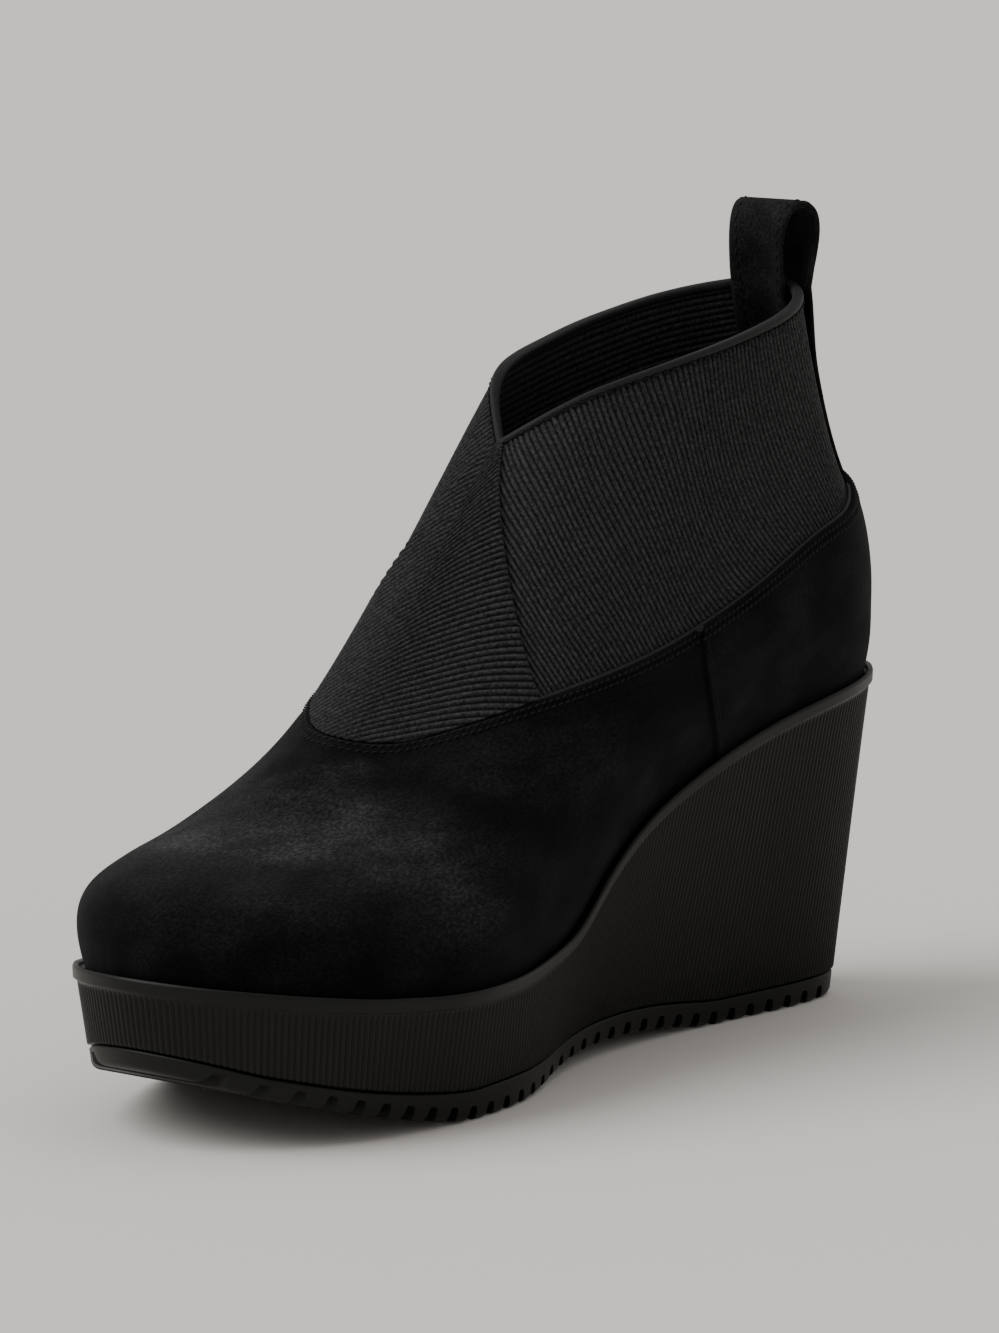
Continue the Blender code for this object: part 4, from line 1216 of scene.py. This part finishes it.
def build_seam_stitches(finish):
    """A row of stitches behind each side seam."""
    centres, ways, outs = [], [], []
    for seam in SEAM_TURNS:
        level = np.linspace(0.10, 0.90, SEAM_STITCHES)
        turn = seam_turn(seam, level) + math.copysign(SEAM_STITCH_PLACE, 0.5 - seam)
        rise = SUEDE_PROUD + quarter_rise(turn, level) + 0.02
        centres.append(wall_point(turn, level, rise))
        ways.append(skin_way(turn, level))
        outs.append(skin_out(turn, level))
    return stitches("seam_stitches", np.concatenate(centres), np.concatenate(ways),
                    np.concatenate(outs), length=1.5, radius=0.2, finish=finish,
                    slot="black_suede")


def build_piping(name, finish, mirror):
    """Cord in the corner between the elastic side panel and the suede's edge."""
    corner = -BAND_TURNS[1] if mirror else BAND_TURNS[0]
    turns = np.linspace(corner - PIPING_TUCK, PIPING_END, 240)
    if mirror:
        turns = 1.0 - turns
    path = wall_point(turns, PIPING_LEVEL, PIPING_LIFT)
    return cord_along(name, path, skin_out(turns, 1.0), PIPING_RADIUS, finish, "collar_tape")


def build_corner_knob(name, finish, seam):
    """Small thread knot where the side seam meets the piping."""
    turn = np.array([seam])
    centre = wall_point(turn, 1.0, SUEDE_PROUD - 0.1)
    way = skin(turn + 0.002, 1.0) - skin(turn - 0.002, 1.0)
    return stitches(name, centre, way, skin_out(turn, 1.0), length=2.6, radius=0.75,
                    finish=finish, slot="collar_tape", sides=12)


# Insole

# Rings of its rounded edge: distance in from the edge, and height

BED_SECTION = [
    (0.0, 0.1),
    (-0.1, 1.2),
    (0.0, INSOLE_THICKNESS - 0.7),
    (0.4, INSOLE_THICKNESS - 0.15),
    (1.1, INSOLE_THICKNESS + 0.05),
    (3.0, INSOLE_THICKNESS),
    (6.0, INSOLE_THICKNESS - 0.3),
]
BED_COLUMNS = 200
BED_STRIPS = 8              # faces across the foot
BED_HOLLOW = 0.9            # how far its middle is pressed down


def build_foot_bed(finish):
    """Footbed with a rounded edge and a slightly hollow top."""
    turns = np.arange(BED_COLUMNS) / BED_COLUMNS
    foot = feather_line(turns)
    away = outward(rim_line, turns)
    rings = []
    for inset, height in BED_SECTION:
        points = foot - away * (ELASTIC_WALL + INSOLE_CLEARANCE + inset)
        points[:, 2] += height
        rings.append(points)
    grid = np.array(rings)
    faces = grid_faces(len(rings), BED_COLUMNS, wrap_columns=True)
    points = [tuple(point) for point in grid.reshape(-1, 3)]
    heel = BED_COLUMNS // 2
    for first, sink in ((0, 0.0), ((len(rings) - 1) * BED_COLUMNS, BED_HOLLOW)):
        before = [first]
        for i in range(1, heel):
            low = np.array(points[first + i])
            high = np.array(points[first + BED_COLUMNS - i])
            row = [first + i]
            for k in range(1, BED_STRIPS):
                share = k / BED_STRIPS
                point = low + (high - low) * share
                point[2] -= sink * math.sin(math.pi * share)
                points.append(tuple(point))
                row.append(len(points) - 1)
            row.append(first + BED_COLUMNS - i)
            if len(before) == 1:
                faces += [(before[0], row[k], row[k + 1]) for k in range(BED_STRIPS)]
            else:
                faces += [(before[k], row[k], row[k + 1], before[k + 1])
                          for k in range(BED_STRIPS)]
            before = row
        faces += [(before[k], first + heel, before[k + 1]) for k in range(BED_STRIPS)]
    return piece_from("foot_bed", points, faces, finish, "insole_leather",
                      stands_for=("insole",))


# Wedge unit

UNIT_POINTS_IN_A_RIB = 7
BEAD_ANGLES = (15, 40, 65, 90, 115)                     # rings over the bead, in degrees
BEAD_ROUND = 0.42                                       # height of its rounded top
BEAD_SIDE = (0.12, 0.22, 0.35, 0.55, 0.75, 0.88)        # rings down its side
SINKS_UNDER_BEAD = ((0.35, 0.26), (0.05, 0.48))         # height over its foot, inset
RIB_HEADS = ((0.2, 0.35), (0.55, 0.75), (1.1, 1.0))     # depth under the bead, share of rib
RIB_SET_BACK = 0.02                                     # crests behind the solid's ribs
RIB_RINGS = 8


def build_unit(finish):
    """Rubber unit: rolled lip, rounded upright ribs and a groove over the outsole."""
    per_rib = UNIT_POINTS_IN_A_RIB
    fine = np.linspace(0.0, 1.0, FINE_STEPS)
    round_line = rim_line(fine)
    perimeter = np.linalg.norm(np.diff(round_line, axis=0), axis=1).sum()
    ribs = round(perimeter / RIB_PITCH)
    count = ribs * per_rib
    turns = even_turns(count, rim_line)
    rim = rim_line(turns)
    away = outward(rim_line, turns)
    rib = np.sqrt(np.clip(0.5 + 0.5 * np.cos(2 * math.pi * np.arange(count) / per_rib), 0, 1))
    rings = []

    def lip(inset, drop):
        points = rim - away * inset
        points[:, 2] -= drop
        rings.append(points)

    lip(LIP_WIDTH + 0.25, RECESS_DEPTH)
    lip(LIP_WIDTH, RECESS_DEPTH - 0.2)
    lip(LIP_WIDTH, 0.45)
    for angle in np.radians(BEAD_ANGLES):
        lip(LIP_WIDTH * (1 + math.cos(angle + 0.35)) / 2 + 0.06,
            BEAD_ROUND * (1 - math.sin(angle)))
    for share in BEAD_SIDE:
        lip(0.04 * (1 + 3 * share), 0.3 + share * (LIP_HEIGHT - 0.7))
    tall = rim[:, 2] - tread_line(turns)[:, 2]
    for over_foot, sink in SINKS_UNDER_BEAD:
        rings.append(sole_side(turns, depth_under_rim=LIP_HEIGHT - over_foot, inset=sink))
    plain = len(rings)
    base = outsole_height(turns) + FIT_GAP
    for extra, size in RIB_HEADS:
        depth = LIP_STEP + RIB_SET_BACK + RIB_DEPTH * (1 - rib) * size
        rings.append(sole_side(turns, depth_under_rim=LIP_HEIGHT + extra, inset=depth))
    ledge = base + 0.5 * GROOVE_HEIGHT
    foot = ledge / tall
    head = 1 - (LIP_HEIGHT + RIB_HEADS[-1][0]) / tall
    full = LIP_STEP + RIB_SET_BACK + RIB_DEPTH * (1 - rib)
    for share in np.linspace(0.0, 1.0, RIB_RINGS + 1)[1:]:
        height = (head + (foot + 0.4 / tall - head) * share) * tall
        rings.append(sole_side(turns, height_over_tread=height, inset=full))
    rings.append(sole_side(turns, height_over_tread=ledge, inset=full + 0.12))
    deep = LIP_STEP + GROOVE_DEPTH
    rings.append(sole_side(turns, height_over_tread=ledge - 0.08, inset=deep))
    rings.append(sole_side(turns, height_over_tread=base, inset=deep))
    grid = np.array(rings)
    # Crest field for the painted rib shade; the bead's rows keep full tone
    crest = np.concatenate([np.ones((plain, count)), np.tile(rib, (len(rings) - plain, 1))])
    faces = grid_faces(len(rings), count, wrap_columns=True)
    faces += cap_faces(0, count) + cap_faces((len(rings) - 1) * count, count)
    return piece_from("rubber_unit", grid, faces, finish, "unit_rubber",
                      stands_for=("wedge",), fields={"crest": crest})


# Outsole

def lug_cutters():
    """Bars with rounded shoulders that cut the tread's grooves."""
    first = LUG_TOE_MARGIN
    last = max(row.at for row in FLOOR_OUTLINE) * LENGTH - LUG_HEEL_MARGIN
    count = int((last - first) // LUG_PITCH)
    mesh = bpy.data.meshes.new("tread_grooves")
    work = bmesh.new()
    half_top = LUG_GROOVE_TOP / 2
    half_foot = LUG_GROOVE_WIDTH / 2
    deep = LUG_GROOVE_DEPTH
    half = [(half_top - 0.45, deep), (half_top - 0.1, deep - 0.18),
            (half_top + 0.03, deep - 0.5), (half_foot - 0.16, 0.5),
            (half_foot + 0.1, 0.12), (half_foot + 0.6, -0.25)]
    ring = half + [(-side, height) for side, height in reversed(half)]
    reach = 0.004
    for i in range(count + 1):
        at = (first + i * LUG_PITCH) / LENGTH
        rise = tread_height(at + reach) - tread_height(at - reach)
        slope = math.atan2(float(rise), 2 * reach * LENGTH)
        back = Vector((0.0, math.cos(slope), math.sin(slope)))
        down = Vector((0.0, math.sin(slope), -math.cos(slope)))
        centre = Vector((0.0, float(along(at)), float(tread_height(at))))
        ends = []
        for wide in (-1, 1):
            shift = Vector((wide * BALL_WIDTH, 0.0, 0.0))
            ends.append([work.verts.new((centre + back * side - down * height + shift) * MM)
                         for side, height in ring])
        work.faces.new(ends[0])
        work.faces.new(ends[1][::-1])
        for k in range(len(ring)):
            j = (k + 1) % len(ring)
            work.faces.new((ends[0][j], ends[0][k], ends[1][k], ends[1][j]))
    bmesh.ops.recalc_face_normals(work, faces=work.faces[:])
    work.to_mesh(mesh)
    work.free()
    cutter = bpy.data.objects.new("tread_grooves", mesh)
    bpy.context.scene.collection.objects.link(cutter)
    return cutter


def build_tread(finish, columns=230):
    """Outsole with a rounded tread edge, cut across by the grooves between its lugs."""
    turns = even_turns(columns, tread_line)
    inset = LIP_STEP + OUTSOLE_STEP
    tall = outsole_height(turns)
    grid = np.array([
        sole_side(turns, height_over_tread=height, inset=inset + extra)
        for height, extra in ((0.0, TREAD_CHAMFER), (0.25, 0.75), (0.75, 0.25),
                              (TREAD_CHAMFER, 0.0), (tall - 0.3, 0.0), (tall, 0.25))])
    faces = grid_faces(len(grid), columns, wrap_columns=True)
    faces += cap_faces(0, columns) + cap_faces((len(grid) - 1) * columns, columns)
    piece = piece_from("tread_band", grid, faces, finish, "tread_rubber",
                       stands_for=("outsole",))
    cutter = lug_cutters()
    cut = piece.modifiers.new("tread grooves", "BOOLEAN")
    cut.operation = "DIFFERENCE"
    cut.solver = "EXACT"
    cut.object = cutter
    cooked = bpy.data.meshes.new_from_object(
        piece.evaluated_get(bpy.context.evaluated_depsgraph_get()))
    piece.modifiers.clear()
    piece.data = cooked
    bpy.data.objects.remove(cutter, do_unlink=True)
    cooked.shade_smooth()
    cooked.set_sharp_from_angle(angle=math.radians(38.0))
    return piece


# Scene

FLOOR_COLOUR = (0.73, 0.70, 0.665)
FLOOR_REACH = 12.0                          # in metres
AIR_COLOUR = (0.80, 0.785, 0.77)
AIR_STRENGTH = 0.72
CAMERA_LENS = 182.0
CAMERA_PLACE = (910.5, -1079.4, 291.9)
CAMERA_AIM = (0.0, 3.0, 84.0)


def add_soft_light(name, place, power, spread):
    """A wide even light from the side of `place`, the same everywhere on the floor."""
    light = bpy.data.lights.new(name, "SUN")
    light.energy = power
    light.angle = math.radians(spread)
    lamp = bpy.data.objects.new(name, light)
    lamp.location = place
    lamp.rotation_euler = (-Vector(place)).to_track_quat("-Z", "Y").to_euler()
    bpy.context.scene.collection.objects.link(lamp)


def set_stage():
    """Plain pale floor under even, soft light."""
    mesh = bpy.data.meshes.new("floor")
    far = FLOOR_REACH
    mesh.from_pydata([(-far, -far, 0), (far, -far, 0), (far, far, 0), (-far, far, 0)], [],
                     [(0, 1, 2, 3)])
    floor = bpy.data.objects.new("floor", mesh)
    bpy.context.scene.collection.objects.link(floor)
    material, _ = finish_of("studio_floor", FLOOR_COLOUR, 0.9, {"Specular IOR Level": 0.2})
    mesh.materials.append(material)
    world = bpy.data.worlds.new("studio")
    world.use_nodes = True
    world.node_tree.nodes["Background"].inputs["Color"].default_value = (*AIR_COLOUR, 1)
    world.node_tree.nodes["Background"].inputs["Strength"].default_value = AIR_STRENGTH
    bpy.context.scene.world = world
    add_soft_light("main_soft", place=(-0.9, -1.3, 1.7), power=2.25, spread=50.0)
    add_soft_light("top_soft", place=(-0.2, 0.1, 2.0), power=0.35, spread=70.0)


def set_camera():
    camera = bpy.data.cameras.new("camera")
    camera.sensor_fit = "VERTICAL"
    camera.sensor_height = 36.0
    camera.lens = CAMERA_LENS
    view = bpy.data.objects.new("camera", camera)
    view.location = Vector(CAMERA_PLACE) * MM
    aim = Vector(CAMERA_AIM) * MM
    view.rotation_euler = (aim - view.location).to_track_quat("-Z", "Y").to_euler()
    bpy.context.scene.collection.objects.link(view)
    bpy.context.scene.camera = view


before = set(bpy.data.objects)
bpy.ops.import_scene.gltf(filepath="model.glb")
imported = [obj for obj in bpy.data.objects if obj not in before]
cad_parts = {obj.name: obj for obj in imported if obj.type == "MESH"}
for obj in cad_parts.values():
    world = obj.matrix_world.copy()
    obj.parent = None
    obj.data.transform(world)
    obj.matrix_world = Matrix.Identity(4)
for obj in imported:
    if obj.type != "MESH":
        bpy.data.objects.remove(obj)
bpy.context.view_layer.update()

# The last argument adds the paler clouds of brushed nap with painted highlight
suede = suede_finish("nubuck", (0.0010, 0.0010, 0.0010), (0.0034, 0.0034, 0.0034), True)
loop_suede = suede_finish("loop_nubuck", (0.0045, 0.0045, 0.0045), (0.0120, 0.0120, 0.0120))
knit = knit_finish("ribbed_elastic", (0.010, 0.010, 0.0102), (0.031, 0.031, 0.0315))
tape = tape_finish("rolled_tape", (0.010, 0.010, 0.0102), (0.020, 0.020, 0.0205), 0.55)
piping = tape_finish("piping_cord", (0.009, 0.009, 0.0092), (0.020, 0.020, 0.0205), 0.5)
thread = tape_finish("thread", (0.0025, 0.0025, 0.0025), (0.007, 0.007, 0.007), 0.5)
leather = tape_finish("foot_bed_leather", (0.006, 0.006, 0.006), (0.012, 0.012, 0.012), 0.6)
# True adds painted shade in the rib valleys of the unit
rubber = rubber_finish("unit_rubber_satin", (0.0042, 0.0044, 0.0034), (0.0070, 0.0073, 0.0058),
                       0.40, True)
tread = rubber_finish("tread_rubber_satin", (0.0042, 0.0045, 0.0033), (0.0072, 0.0076, 0.0058),
                      0.46)

build_suede(suede)
build_side_panel("inner_side_panel", knit, False)
build_side_panel("outer_side_panel", knit, True)
build_lining(knit)
build_band(knit)
build_collar_roll(tape)
build_collar_stitches(thread)
build_loop(loop_suede, thread)
build_edge_stitches(thread)
build_seam_stitches(thread)
build_piping("inner_piping", piping, False)
build_piping("outer_piping", piping, True)
build_corner_knob("inner_knob", piping, SEAM_TURNS[0])
build_corner_knob("outer_knob", piping, SEAM_TURNS[1])
build_foot_bed(leather)
build_unit(rubber)
build_tread(tread)
set_stage()
set_camera()
